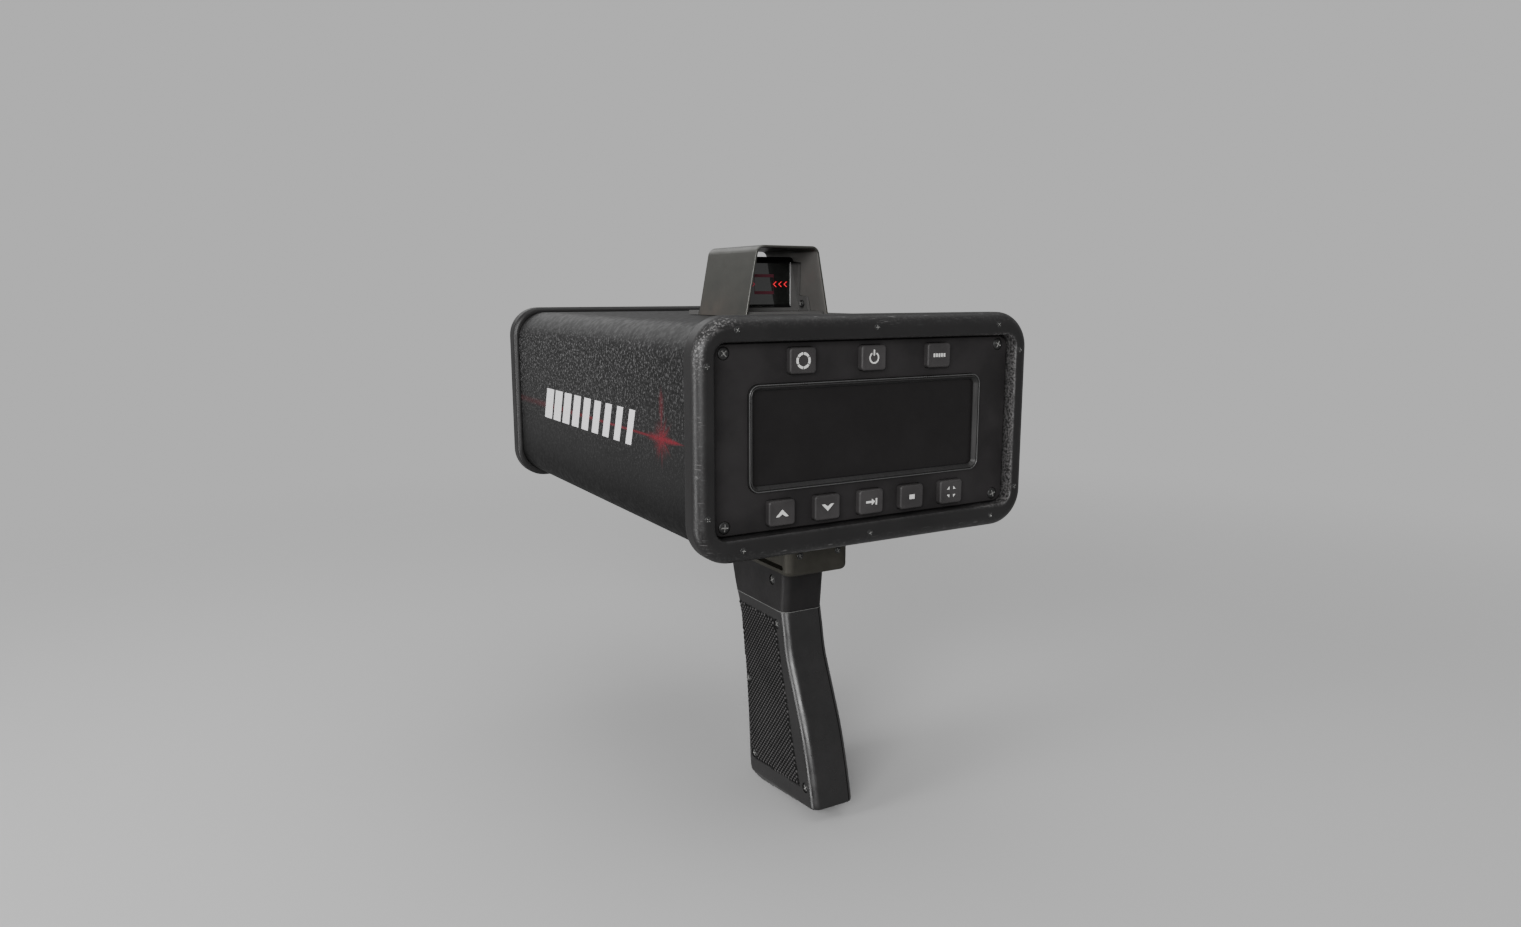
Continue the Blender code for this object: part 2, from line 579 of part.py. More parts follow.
def grip_neck():
    neck = lofted("grip_neck", [level_ring(half, rear, front, GRIP_RADIUS, z)
                                for z, half, rear, front in NECK_SECTIONS], "grip_plastic")
    y, z = TRIGGER_PIVOT
    tool = bmesh.new()
    slot = TRIGGER_SLOT
    block(tool, (-slot["half"], slot["rear"], slot["low"]), (slot["half"], 133.0, slot["high"]))
    boolean(neck, tool, "DIFFERENCE")
    holes = bmesh.new()
    rod(holes, (0, y, z), (1, 0, 0), TRIGGER_PIN + GAP, -12.2, 12.2, 12)
    for side in (-1, 1):
        turned(holes, [(1.6, -8.0), (1.6, -1.4), (3.1, -1.4), (3.1, 1.0)],
               (side * GRIP_HALF, *NECK_SCREW), (side, 0, 0), 12)
    boolean(neck, holes, "DIFFERENCE")
    for side, name in ((-1, "left"), (1, "right")):
        screw(f"neck_screw_{name}", (side * (GRIP_HALF - 1.1), *NECK_SCREW), (side, 0, 0), 2.8, 1.1, 1.3, 5.8, 12)


def trigger():
    """A finger lever on its pin, with the return spring beside its arm and a switch behind it."""
    y, z = TRIGGER_PIVOT
    bm = bmesh.new()
    eye = 4.0
    angles = [radians(20 + 32 * i) for i in range(7)]
    arm = [(y + eye * cos(angle), z + eye * sin(angle)) for angle in angles]
    arm += [(116.0, -104.0), (115.4, -109.0), (128.0, -111.9), (130.5, -104.0)]
    prism(bm, arm, -3.0, 3.0)
    lever = piece("trigger", bm, "grip_plastic", origin=(0.0, y, z))
    pad = bmesh.new()
    finger = [(128.6 + 7.2 * t + 1.6 * (t * t - t), -94.8 - 16.1 * t) for t in (i / 5 for i in range(6))]
    outline = finger + [(133.0, -112.5), (127.4, -111.3), (126.6, -96.4)]
    loft(pad, [[(x, py - soft, pz) for py, pz in outline]
               for x, soft in ((-6.0, 0.8), (-4.8, 0.0), (4.8, 0.0), (6.0, 0.8))])
    boolean(lever, pad, "UNION")
    hole = bmesh.new()
    rod(hole, (0, y, z), (1, 0, 0), TRIGGER_PIN + GAP, -8.0, 8.0, 12)
    boolean(lever, hole, "DIFFERENCE")
    pin = bmesh.new()
    rod(pin, (0, y, z), (1, 0, 0), TRIGGER_PIN, -11.8, 11.8, 12)
    piece("trigger_pin", pin, "steel")
    switch = bmesh.new()
    block(switch, (-5.0, 106.3, -111.0), (5.0, 110.6, -99.0))
    body = piece("trigger_switch", switch, "inner_plastic")
    plunger = bmesh.new()
    rod(plunger, (0, 0, -108.0), (0, 1, 0), 1.4, 109.5, 112.0, 10)
    boolean(body, plunger, "UNION")


def trigger_spring():
    """A torsion coil round the trigger's pin, beside the arm."""
    y, z = TRIGGER_PIVOT
    turns, per_turn, pitch, mean, wire = 2.5, 12, 0.95, 2.6, 0.35
    count = int(turns * per_turn)
    rings = []
    for i in range(count + 1):
        angle = 2 * pi * i / per_turn
        centre = Vector((3.65 + pitch * i / per_turn, y + mean * cos(angle), z + mean * sin(angle)))
        outward = Vector((0, cos(angle), sin(angle)))
        rings.append([centre + wire * (outward * cos(a) + Vector((1, 0, 0)) * sin(a))
                      for a in (2 * pi * k / 5 for k in range(5))])
    lofted("trigger_spring", rings, "steel")


# ------------------------------------------------------------------ grip
def curve_through(values, i, t):
    """A smooth curve through equally spaced values: its value a share t past number i."""
    last = len(values) - 1
    before, first, second, after = (values[max(0, min(k, last))] for k in range(i - 1, i + 3))
    return first + t / 2 * (second - before + t * (2 * before - 5 * first + 4 * second - after
                                                   + t * (3 * (first - second) + after - before)))


def grip_rings(parts=2):
    """The grip's sections, with more of them between on smooth curves."""
    flat = [(half, *rear, *front) for half, rear, front in GRIP_SECTIONS]
    tracks = list(zip(*flat))
    rings = []
    for step in range((len(flat) - 1) * parts + 1):
        i = min(step // parts, len(flat) - 2)
        half, *ends = (curve_through(track, i, step / parts - i) for track in tracks)
        half = min(half, GRIP_HALF)
        radius = GRIP_RADIUS - max(0.0, 13.6 - half) * 0.6
        rings.append(slanted_ring(half, ends[:2], ends[2:], radius, 4))
    return rings


def grip_slice(low_x, high_x):
    """The part of the grip's full shape that lies between two upright planes, where they are given."""
    bm = bmesh.new()
    loft(bm, grip_rings())
    for x, normal in ((low_x, (-1, 0, 0)), (high_x, (1, 0, 0))):
        if x is None:
            continue
        everything = bm.verts[:] + bm.edges[:] + bm.faces[:]
        cut = bmesh.ops.bisect_plane(bm, geom=everything, plane_co=(x, 0, 0), plane_no=normal,
                                     clear_outer=True)
        rim = [item for item in cut["geom_cut"] if isinstance(item, bmesh.types.BMEdge)]
        bmesh.ops.edgeloop_fill(bm, edges=rim)
    return bm


def grip_base_frame():
    """Turns (x, along, up) on the grip's slanted foot into the body frame, from its rear edge."""
    rear, front = Vector(GRIP_SECTIONS[-1][1]), Vector(GRIP_SECTIONS[-1][2])
    tilt = atan2(front.y - rear.y, front.x - rear.x)
    return Matrix.Translation((0, rear.x, rear.y)) @ Matrix.Rotation(tilt, 4, "X")


def battery_frame():
    """Turns (x, across, up) in the battery well into the body frame, from the well's foot."""
    foot, head = Vector(BATTERY_FOOT), Vector(BATTERY_HEAD)
    tilt = atan2(head.y - foot.y, head.x - foot.x) - pi / 2
    return Matrix.Translation((0, foot.x, foot.y)) @ Matrix.Rotation(tilt, 4, "X")


def grip():
    core = piece("grip_core", grip_slice(-CORE_HALF, CORE_HALF), "grip_plastic")
    half, deep, _ = BATTERY
    well = bmesh.new()
    clear_half, clear_deep = half + GAP, deep + GAP
    block(well, (-clear_half, -clear_deep, -10.0), (clear_half, clear_deep, 86.0), battery_frame())
    boolean(core, well, "DIFFERENCE")
    base = grip_base_frame()
    seat = bmesh.new()
    start, knuckle = DOOR["start"], DOOR["knuckle"] + GAP
    block(seat, (-DOOR["half"] - GAP, start - knuckle, -2.0),
          (DOOR["half"] + GAP, DOOR["end"] + GAP, DOOR["thick"] + GAP), base)
    boolean(core, seat, "DIFFERENCE")
    holes = bmesh.new()
    centre = base @ Vector((0, start, DOOR["knuckle"]))
    rod(holes, centre, (1, 0, 0), knuckle, -DOOR["half"] - GAP, DOOR["half"] + GAP, 16)
    for y, z in GRIP_SCREWS:
        for side in (-1, 1):
            rod(holes, (side * CORE_HALF, y, z), (side, 0, 0), 1.6, -1.9, 1.0, 10)
    boolean(core, holes, "DIFFERENCE")
    inner_face = CORE_HALF + GAP
    seat_profile = [(1.6, -5.0), (1.6, -1.3), (3.0, -1.3), (3.0, 1.0)]
    for side, name, low, high in ((-1, "left", None, -inner_face), (1, "right", inner_face, None)):
        cover = piece(f"grip_panel_{name}", grip_slice(low, high), "grip_plastic")
        tool = bmesh.new()
        for number, (y, z) in enumerate(GRIP_SCREWS, 1):
            outward = (side, 0, 0)
            turned(tool, seat_profile, (side * GRIP_HALF, y, z), outward, 12)
            screw(f"grip_screw_{name}_{number}", (side * (GRIP_HALF - 1.0), y, z), outward,
                  2.7, 1.0, 1.3, 3.9, 10)
        boolean(cover, tool, "DIFFERENCE")


def battery():
    half, deep, length = BATTERY
    matrix = battery_frame()
    rings = []
    for inset, up in ((1.5, 5.6), (0.0, 7.1), (0.0, length + 4.1), (1.5, length + 5.6)):
        outline = rounded(half - inset, deep - inset, 3.0, 3)
        rings.append([matrix @ Vector((u, v, up)) for u, v in outline])
    lofted("battery_pack", rings, "battery_wrap")


def battery_door():
    """A flush plate in the grip's foot that swings down on a pin at its rear edge."""
    base = grip_base_frame()
    radius, start = DOOR["knuckle"], DOOR["start"]
    centre = base @ Vector((0, start, radius))
    outline = [(start + radius * cos(angle), radius + radius * sin(angle))
               for angle in (radians(30 + 30 * i) for i in range(9))]
    outline += [(DOOR["end"] - 0.8, 0.0), (DOOR["end"], 0.8), (DOOR["end"], DOOR["thick"]),
                (start + 2.6, DOOR["thick"])]
    bm = bmesh.new()
    sides = (-DOOR["half"], DOOR["half"])
    loft(bm, [[base @ Vector((x, along, up)) for along, up in outline] for x in sides])
    door = piece("battery_door", bm, "grip_plastic", origin=centre)
    hole = bmesh.new()
    rod(hole, centre, (1, 0, 0), DOOR["pin"] + GAP, -12.0, 12.0, 12)
    boolean(door, hole, "DIFFERENCE")
    pin = bmesh.new()
    rod(pin, centre, (1, 0, 0), DOOR["pin"], -DOOR["half"], DOOR["half"], 12)
    piece("door_pin", pin, "steel")


body_shell()
bumper("rear_bumper", lambda depth: depth - RECESS)
bumper("front_bumper", lambda depth: FRONT_FACE + RECESS - depth)
rear_panel()
panel_screws()
display()
keypad_board()
buttons()
front_end()
electronics()
sight_hood()
sight_frame()
sight_parts()
rail_bracket()
grip_neck()
trigger()
trigger_spring()
grip()
battery()
battery_door()
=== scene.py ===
"""Looks of the hand-held speed measuring gun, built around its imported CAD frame.

Pieces are drawn in millimetres in the body frame (X to the operator's right, Y forward, Z up, zero
at the centre of the rear control panel's face), and become metres in the row frame when made.
"""

import json
from functools import reduce
from math import atan2, cos, pi, radians, sin, sqrt

import bmesh
import bpy
from mathutils import Matrix, Vector

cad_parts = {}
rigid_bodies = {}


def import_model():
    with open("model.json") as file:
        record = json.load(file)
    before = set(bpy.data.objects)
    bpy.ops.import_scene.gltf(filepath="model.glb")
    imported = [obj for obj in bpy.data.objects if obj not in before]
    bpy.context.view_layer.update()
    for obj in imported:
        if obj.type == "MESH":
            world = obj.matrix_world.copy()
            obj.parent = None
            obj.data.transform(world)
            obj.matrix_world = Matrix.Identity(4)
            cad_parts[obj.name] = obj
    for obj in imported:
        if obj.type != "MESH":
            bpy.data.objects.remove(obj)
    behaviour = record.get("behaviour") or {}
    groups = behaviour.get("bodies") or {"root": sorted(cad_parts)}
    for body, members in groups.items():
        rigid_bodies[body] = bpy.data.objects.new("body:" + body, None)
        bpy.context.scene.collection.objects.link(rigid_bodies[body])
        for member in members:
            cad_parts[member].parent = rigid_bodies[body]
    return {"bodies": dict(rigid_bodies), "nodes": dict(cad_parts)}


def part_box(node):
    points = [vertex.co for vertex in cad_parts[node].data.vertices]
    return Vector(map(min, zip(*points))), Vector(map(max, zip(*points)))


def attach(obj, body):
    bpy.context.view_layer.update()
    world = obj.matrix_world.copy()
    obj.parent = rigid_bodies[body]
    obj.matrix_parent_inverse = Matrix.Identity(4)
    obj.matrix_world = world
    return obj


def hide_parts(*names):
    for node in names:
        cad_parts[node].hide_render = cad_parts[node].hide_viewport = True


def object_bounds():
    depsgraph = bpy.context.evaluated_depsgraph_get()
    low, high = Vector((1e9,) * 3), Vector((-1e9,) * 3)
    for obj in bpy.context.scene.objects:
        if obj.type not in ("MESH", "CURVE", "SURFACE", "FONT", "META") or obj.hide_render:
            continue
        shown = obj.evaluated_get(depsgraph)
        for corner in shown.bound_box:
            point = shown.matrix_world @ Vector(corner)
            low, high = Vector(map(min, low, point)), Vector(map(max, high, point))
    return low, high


for leftover in [obj for obj in bpy.data.objects if obj.name in ("Cube", "Light", "Camera")]:
    bpy.data.objects.remove(leftover)

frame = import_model()
cad_low, cad_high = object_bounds()

MM = 0.001
GUN = "gun"
panel_low, panel_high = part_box("rear_panel")
ZERO = Vector(((panel_low.x + panel_high.x) / 2, panel_low.y, (panel_low.z + panel_high.z) / 2))


def span(node):
    """A CAD node's lowest and highest corner in the body frame, in millimetres."""
    low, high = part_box(node)
    return (low - ZERO) / MM, (high - ZERO) / MM


def middle_of(node):
    """A CAD node's middle, as (x, y, z)."""
    return tuple((low + high) / 2 for low, high in zip(*span(node)))


# ------------------------------------------------------------------ sizes, from the frame
GAP = 0.3                                  # clearance between neighbouring CAD pieces
CORNER = 14                                # straight pieces in one rounded corner
ACROSS, AHEAD = (1, 0, 0), (0, 1, 0)       # directions to turn a profile about
SIDES = ((-1, "left"), (1, "right"))       # sign of X, and the word in the names

shell_low, shell_high = span("body_shell")
bumper_low, bumper_high = span("rear_bumper")
bezel_low, bezel_high = span("display_bezel")
# outlines: half width, half height, corner radius
SHELL = (shell_high.x, shell_high.z, 18.9)
BUMPER = (bumper_high.x, bumper_high.z, 19.8)
OPENING = (BUMPER[0] - 10.0, BUMPER[1] - 12.5, 6.5)
ISLAND = (OPENING[0] - 1.1, OPENING[1] - 0.9, 5.6)
DISPLAY = (bezel_high.x, bezel_high.z, 5.6)
SHELL_WALL = 2.5
BURST = (40.0, -2.6)                       # where the beam ends on the shell's side, as (y, z)
RECESS = -bumper_low.y                     # the panel face lies this far inside the bumper
LIP_DEPTH = bumper_high.y                  # the bumper reaches this far past the panel face
PANEL_DEPTH = shell_low.y                  # the shell's edge lies this far behind the panel face
PANEL_BACK = PANEL_DEPTH + 2.0             # the back of the panel's flange
FRONT_FACE = span("front_panel")[1].y

BUTTONS = [name for name in frame["nodes"] if name.endswith("_button")]
KEY_FLANGE = 1.2
PANEL_SCREWS = [f"panel_screw_{number}" for number in (1, 2, 3, 4)]

hood_low, hood_high = span("sight_hood")
HOOD_SHEET = 1.5
HOOD_BEND = 5.2                            # outer radius between the walls and the top
HOOD_BROW = 20.6                           # half width where the walls would meet the top
HOOD_LEAN = (hood_high.x - HOOD_BROW) / (hood_high.z - hood_low.z)
window_low, window_high = span("sight_glass")
upright_low, upright_high = span("sight_frame")
bracket_low, bracket_high = span("rail_bracket")
neck_low, neck_high = span("grip_neck")
GRIP_RADIUS = 5.2
GRIP_HALF = 14.0
SEAM = neck_low.z - 0.15                   # height of the joint between neck and grip
SCREW_CLEAR = 3.3                          # the grip's texture stays this far from a screw
TEXTURE_FADE = 0.7                         # and rises to its full height over this distance

# screws: head radius, head height, shank radius, shank length
PANEL_SCREW = (3.0, 1.3, 1.4, 12.0)
FRONT_SCREW = (3.0, 1.3, 1.4, 3.0)
BUMPER_SCREW = (1.75, 0.42, 0.8, 2.0)
HOOD_SCREW = (2.2, 1.2, 1.2, 2.9)
BRACKET_SCREW = (2.0, 0.9, 1.0, 2.5)
NECK_SCREW = (2.8, 1.1, 1.3, 5.8)
GRIP_SCREW = (2.7, 1.0, 1.3, 3.9)

# camera: place in millimetres, tilt down and turn in degrees, focal length in millimetres
CAMERA_PLACE = (-308.72, -419.90, 70.81)
CAMERA_TILT, CAMERA_TURN, CAMERA_LENS = 9.697, -30.054, 23.83


# ------------------------------------------------------------------ outlines
def rounded(half_u, half_v, radius, steps=CORNER):
    """Corners of a rounded rectangle about (0, 0), as (u, v) points, anticlockwise."""
    points = []
    for quarter, (su, sv) in enumerate([(1, -1), (1, 1), (-1, 1), (-1, -1)]):
        for i in range(steps + 1):
            angle = pi / 2 * (quarter - 1 + i / steps)
            points.append((su * (half_u - radius) + radius * cos(angle),
                           sv * (half_v - radius) + radius * sin(angle)))
    return points


def arc(centre, radius, start, end, steps=6):
    """Points of an arc between two angles in degrees."""
    angles = [radians(start + (end - start) * i / steps) for i in range(steps + 1)]
    return [(centre[0] + radius * cos(a), centre[1] + radius * sin(a)) for a in angles]


def upright_ring(outline, y, centre=(0.0, 0.0), steps=CORNER):
    """A rounded rectangle standing across the body at depth y."""
    return [(centre[0] + u, y, centre[1] + v) for u, v in rounded(*outline, steps)]


def level_ring(half_width, rear, front, radius, z, steps=10):
    """A rounded rectangle lying level at height z."""
    middle = (rear + front) / 2
    return [(u, middle + v, z) for u, v in rounded(half_width, (front - rear) / 2, radius, steps)]


def mix(first, second, share):
    return tuple(a + (b - a) * share for a, b in zip(first, second))


def inset(outline, distance):
    return tuple(max(size - distance, 0.3) for size in outline)


def curve_through(values, i, t):
    """A smooth curve through equally spaced values: its value a share t past number i."""
    last = len(values) - 1
    before, first, second, after = (values[max(0, min(k, last))] for k in range(i - 1, i + 3))
    return first + t / 2 * (second - before + t * (2 * before - 5 * first + 4 * second - after
                                                   + t * (3 * (first - second) + after - before)))


def smoothed(rows, parts):
    """Rows of numbers with more rows between them, on smooth curves through each column."""
    columns = list(zip(*rows))
    made = []
    for step in range((len(rows) - 1) * parts + 1):
        i = min(step // parts, len(rows) - 2)
        made.append([curve_through(column, i, step / parts - i) for column in columns])
    return made


# ------------------------------------------------------------------ meshes in millimetres
def loft(bm, rings, closed=False, index=0):
    """Join rings of equal length; the ends are capped, or joined to each other if closed."""
    rows = [[bm.verts.new(point) for point in ring] for ring in rings]
    for low, high in zip(rows, rows[1:] + rows[:1] if closed else rows[1:]):
        for i in range(len(low)):
            bm.faces.new((low[i - 1], low[i], high[i], high[i - 1])).material_index = index
    if not closed:
        bm.faces.new(rows[0]).material_index = index
        bm.faces.new(rows[-1]).material_index = index
    return rows


def block(bm, low, high, matrix=None, index=0):
    """A cuboid between two opposite corners, turned by matrix if one is given."""
    corners = [(low[0], low[1]), (high[0], low[1]), (high[0], high[1]), (low[0], high[1])]
    rings = [[Vector((x, y, z)) for x, y in corners] for z in (low[2], high[2])]
    if matrix:
        rings = [[matrix @ point for point in ring] for ring in rings]
    loft(bm, rings, index=index)


def turned(bm, profile, centre, axis, segments=48, closed=False, index=0):
    """Turn a profile of (radius, distance along the axis) points about an axis."""
    turn = Vector((0, 0, 1)).rotation_difference(Vector(axis)).to_matrix()
    rings = []
    for radius, along in profile:
        angles = [2 * pi * i / segments for i in range(segments)]
        rings.append([Vector(centre) + turn @ Vector((radius * cos(a), radius * sin(a), along))
                      for a in angles])
    loft(bm, rings, closed, index=index)


def plate(bm, outline, y, thickness, centre=(0.0, 0.0), index=0):
    """A thin prism of (x, z) points whose rear face stands at y - thickness."""
    loft(bm, [[(centre[0] + u, depth, centre[1] + v) for u, v in outline]
              for depth in (y, y - thickness)], index=index)


def shaped(shape, *sizes, **settings):
    """A new mesh that holds one shape, such as a loft or a block."""
    bm = bmesh.new()
    shape(bm, *sizes, **settings)
    return bm


def second_look(bm, chosen):
    """Give the piece's second look to the chosen faces."""
    for face in bm.faces:
        if chosen(face):
            face.material_index = 1


def soften(bm, width, segments=3, angle=35):
    """Round every edge that is sharper than the angle."""
    edges = [e for e in bm.edges if len(e.link_faces) == 2 and e.calc_face_angle(0) > radians(angle)]
    bmesh.ops.bevel(bm, geom=edges, offset=width, segments=segments, profile=0.5, affect="EDGES",
                    clamp_overlap=True)


def from_node(node):
    """A CAD node's own shape as an editable mesh, in millimetres in the body frame."""
    bm = bmesh.new()
    bm.from_mesh(frame["nodes"][node].data)
    bmesh.ops.remove_doubles(bm, verts=bm.verts, dist=1e-6)
    bmesh.ops.dissolve_limit(bm, angle_limit=radians(1), verts=bm.verts, edges=bm.edges)
    for vert in bm.verts:
        vert.co = (vert.co - ZERO) / MM
    return bm


def carved(bm, tool, operation="DIFFERENCE"):
    """The mesh bm with the tool cut from it or joined on; both are used up."""
    objects = []
    for part in (bm, tool):
        bmesh.ops.recalc_face_normals(part, faces=part.faces)
        mesh = bpy.data.meshes.new("work")
        part.to_mesh(mesh)
        part.free()
        for _ in range(3):
            mesh.materials.append(None)
        obj = bpy.data.objects.new("work", mesh)
        bpy.context.scene.collection.objects.link(obj)
        objects.append(obj)
    base, cutter = objects
    modifier = base.modifiers.new("cut", "BOOLEAN")
    modifier.operation = operation
    modifier.solver = "EXACT"
    modifier.object = cutter
    evaluated = base.evaluated_get(bpy.context.evaluated_depsgraph_get())
    result = bmesh.new()
    result.from_mesh(evaluated.to_mesh())
    evaluated.to_mesh_clear()
    for obj in objects:
        mesh = obj.data
        bpy.data.objects.remove(obj)
        bpy.data.meshes.remove(mesh)
    bmesh.ops.remove_doubles(result, verts=result.verts, dist=1e-5)
    return result


def make_piece(name, bm, looks, body=GUN, stands_for=(), sharp=32):
    """Make a piece in the row frame, riding on a CAD body, with soft shading between sharp edges."""
    bmesh.ops.recalc_face_normals(bm, faces=bm.faces)
    for vert in bm.verts:
        vert.co = ZERO + vert.co * MM
    mesh = bpy.data.meshes.new(name)
    bm.to_mesh(mesh)
    bm.free()
    for look in [looks] if isinstance(looks, str) else looks:
        mesh.materials.append(LOOKS[look])
    mesh.shade_smooth()
    mesh.set_sharp_from_angle(angle=radians(sharp))
    obj = bpy.data.objects.new(name, mesh)
    bpy.context.scene.collection.objects.link(obj)
    obj.modifiers.new("normals", "WEIGHTED_NORMAL").keep_sharp = True
    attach(obj, body)
    if stands_for:
        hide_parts(*stands_for)
    return obj


# ------------------------------------------------------------------ material building
class Look:
    """Builds the node tree of one material, with object coordinates in metres."""

    def __init__(self, name, colour, roughness, metallic=0.0, specular=0.5):
        self.material = bpy.data.materials.new(name)
        self.material.use_nodes = True
        self.tree = self.material.node_tree
        self.shader = self.tree.nodes["Principled BSDF"]
        self.place = self.tree.nodes.new("ShaderNodeTexCoord").outputs["Object"]
        self.axes = None
        self.colour = colour
        self.set("Base Color", colour)
        self.set("Roughness", roughness)
        self.set("Metallic", metallic)
        self.set("Specular IOR Level", specular)

    def feed(self, socket, value):
        """Link an input to another node's output, or set it to a plain number or colour."""
        if isinstance(value, bpy.types.NodeSocket):
            self.tree.links.new(value, socket)
        else:
            socket.default_value = (*value, 1.0) if socket.type == "RGBA" else value

    def set(self, socket, value):
        self.feed(self.shader.inputs[socket], value)

    def finished(self, colour, roughness, normal=None):
        """The material, once its surface is joined to the given outputs."""
        self.set("Base Color", colour)
        self.set("Roughness", roughness)
        if normal:
            self.set("Normal", normal)
        return self.material

    def add(self, kind, inputs, **settings):
        node = self.tree.nodes.new(kind)
        for key, value in settings.items():
            setattr(node, key, value)
        for key, value in inputs.items():
            self.feed(node.inputs[key], value)
        return node

    def stretched(self, scale):
        """Object coordinates scaled differently along X, Y and Z."""
        return self.add("ShaderNodeMapping", {"Vector": self.place, "Scale": scale}).outputs["Vector"]

    def noise(self, scale, detail=3.0, roughness=0.55, place=None):
        inputs = {"Vector": place or self.place, "Scale": scale, "Detail": detail, "Roughness": roughness}
        return self.add("ShaderNodeTexNoise", inputs).outputs["Fac"]

    def axis(self, letter):
        """A point's X, Y or Z in the body frame, in millimetres."""
        if not self.axes:
            self.axes = self.add("ShaderNodeSeparateXYZ", {"Vector": self.place})
        offset = self.calc("SUBTRACT", self.axes.outputs[letter], getattr(ZERO, letter.lower()))
        return self.calc("DIVIDE", offset, MM)

    def attribute(self, name):
        return self.add("ShaderNodeAttribute", {}, attribute_name=name).outputs["Fac"]

    def calc(self, operation, first, second=0.0):
        return self.add("ShaderNodeMath", {0: first, 1: second}, operation=operation).outputs["Value"]

    def magnitude(self, value):
        return self.calc("ABSOLUTE", value)

    def product(self, *values):
        return reduce(lambda first, second: self.calc("MULTIPLY", first, second), values)

    def most(self, *values):
        return reduce(lambda first, second: self.calc("MAXIMUM", first, second), values)

    def spread(self, value, low, high, to_low=0.0, to_high=1.0):
        """Map a value's range low..high smoothly onto to_low..to_high."""
        inputs = {"Value": value, "From Min": low, "From Max": high, "To Min": to_low, "To Max": to_high}
        return self.add("ShaderNodeMapRange", inputs, interpolation_type="SMOOTHSTEP").outputs["Result"]

    def blend(self, share, first, second):
        """A colour between two, each a colour or another node's output."""
        node = self.add("ShaderNodeMix", {"Factor": share}, data_type="RGBA")
        for socket, value in zip([s for s in node.inputs if s.type == "RGBA"], (first, second)):
            self.feed(socket, value)
        return next(s for s in node.outputs if s.type == "RGBA")

    def clouded(self, cloud, darker, lighter, low=0.3, high=0.7):
        """The look's own colour, made a little darker and lighter by a noise."""
        share = self.spread(cloud, low, high)
        return self.blend(share, shade(self.colour, darker), shade(self.colour, lighter))

    def bump(self, height, strength, distance, under=None):
        inputs = {"Height": height, "Strength": strength, "Distance": distance}
        if under:
            inputs["Normal"] = under
        return self.add("ShaderNodeBump", inputs).outputs["Normal"]


def shade(colour, factor):
    return tuple(part * factor for part in colour)


def moulded(name, colour, roughness, grain, depth, strength, specular=0.4, mottle=0.25, crown_highlight=None):
    """Moulded plastic or rubber: fine pebble grain, faint mottling and uneven gloss."""
    look = Look(name, colour, roughness, specular=specular)
    cloud = look.noise(35.0, 4.0)
    base = look.clouded(cloud, 1.0 - mottle, 1.0 + mottle)
    # Where given, the crowns get a lighter colour as a painted highlight
    if crown_highlight:
        lit_crowns = look.spread(look.attribute("wear"), 0.20, 0.85)
        base = look.blend(look.product(lit_crowns, look.spread(cloud, 0.3, 0.7, 0.7, 1.0)), base, crown_highlight)
    rough = look.spread(look.noise(160.0, 3.0), 0.25, 0.75, roughness - 0.07, roughness + 0.09)
    cells = look.add("ShaderNodeTexVoronoi", {"Vector": look.place, "Scale": grain}, feature="SMOOTH_F1")
    pebbles = look.bump(cells.outputs["Distance"], strength, depth)
    pits = look.bump(look.noise(grain * 1.7, 2.0), strength * 0.6, depth * 0.6, pebbles)
    return look.finished(base, rough, pits)


def shell_look():
    """Dark paint with a fine leather-like grain, and a blurred red burst with its beam on each side. Painted
    glints on the grain's crests and painted shade in its pits in the upper band, and painted shade towards
    the bottom.
    """
    look = Look("shell_paint_look", (0.0120, 0.0118, 0.0120), 0.45, specular=0.36)
    grain = look.noise(640.0, 3.0, 0.72)
    height = look.axis("Z")
    smooth_top = look.spread(height, 54.0, 39.0)
    upper = look.product(look.spread(height, -30.0, 34.0, 0.18, 1.0), look.most(smooth_top, 0.08))
    base = look.clouded(look.noise(22.0, 4.0), 0.88, 1.12)
    # Painted shade and glints on the grain: pits darkened and crests lightened in the upper band, the crests
    # less towards the rear
    pits = look.product(look.spread(grain, 0.50, 0.42), upper)
    base = look.blend(pits, base, shade(look.colour, 0.1))
    calm_rear = look.spread(look.axis("Y"), 0.0, 130.0, 0.5, 1.0)
    crest_glints = look.product(look.spread(grain, 0.54, 0.62), upper, calm_rear)
    base = look.blend(crest_glints, base, (0.118, 0.117, 0.118))
    # Painted shade: the paint darkens towards the bottom, and is less specular there
    painted_lower_shade = look.spread(height, 5.0, -48.0, 0.0, 0.72)
    base = look.blend(painted_lower_shade, base, shade(look.colour, 0.25))
    base = look.blend(burst_share(look), base, (0.16, 0.006, 0.016))
    look.set("Specular IOR Level", look.spread(height, -20.0, -52.0, 0.36, 0.08))
    rough = look.spread(look.noise(260.0, 2.0), 0.3, 0.7, 0.40, 0.52)
    relief = look.spread(smooth_top, 0.0, 1.0, 0.02, 0.5)
    return look.finished(base, rough, look.bump(grain, relief, 0.00025))


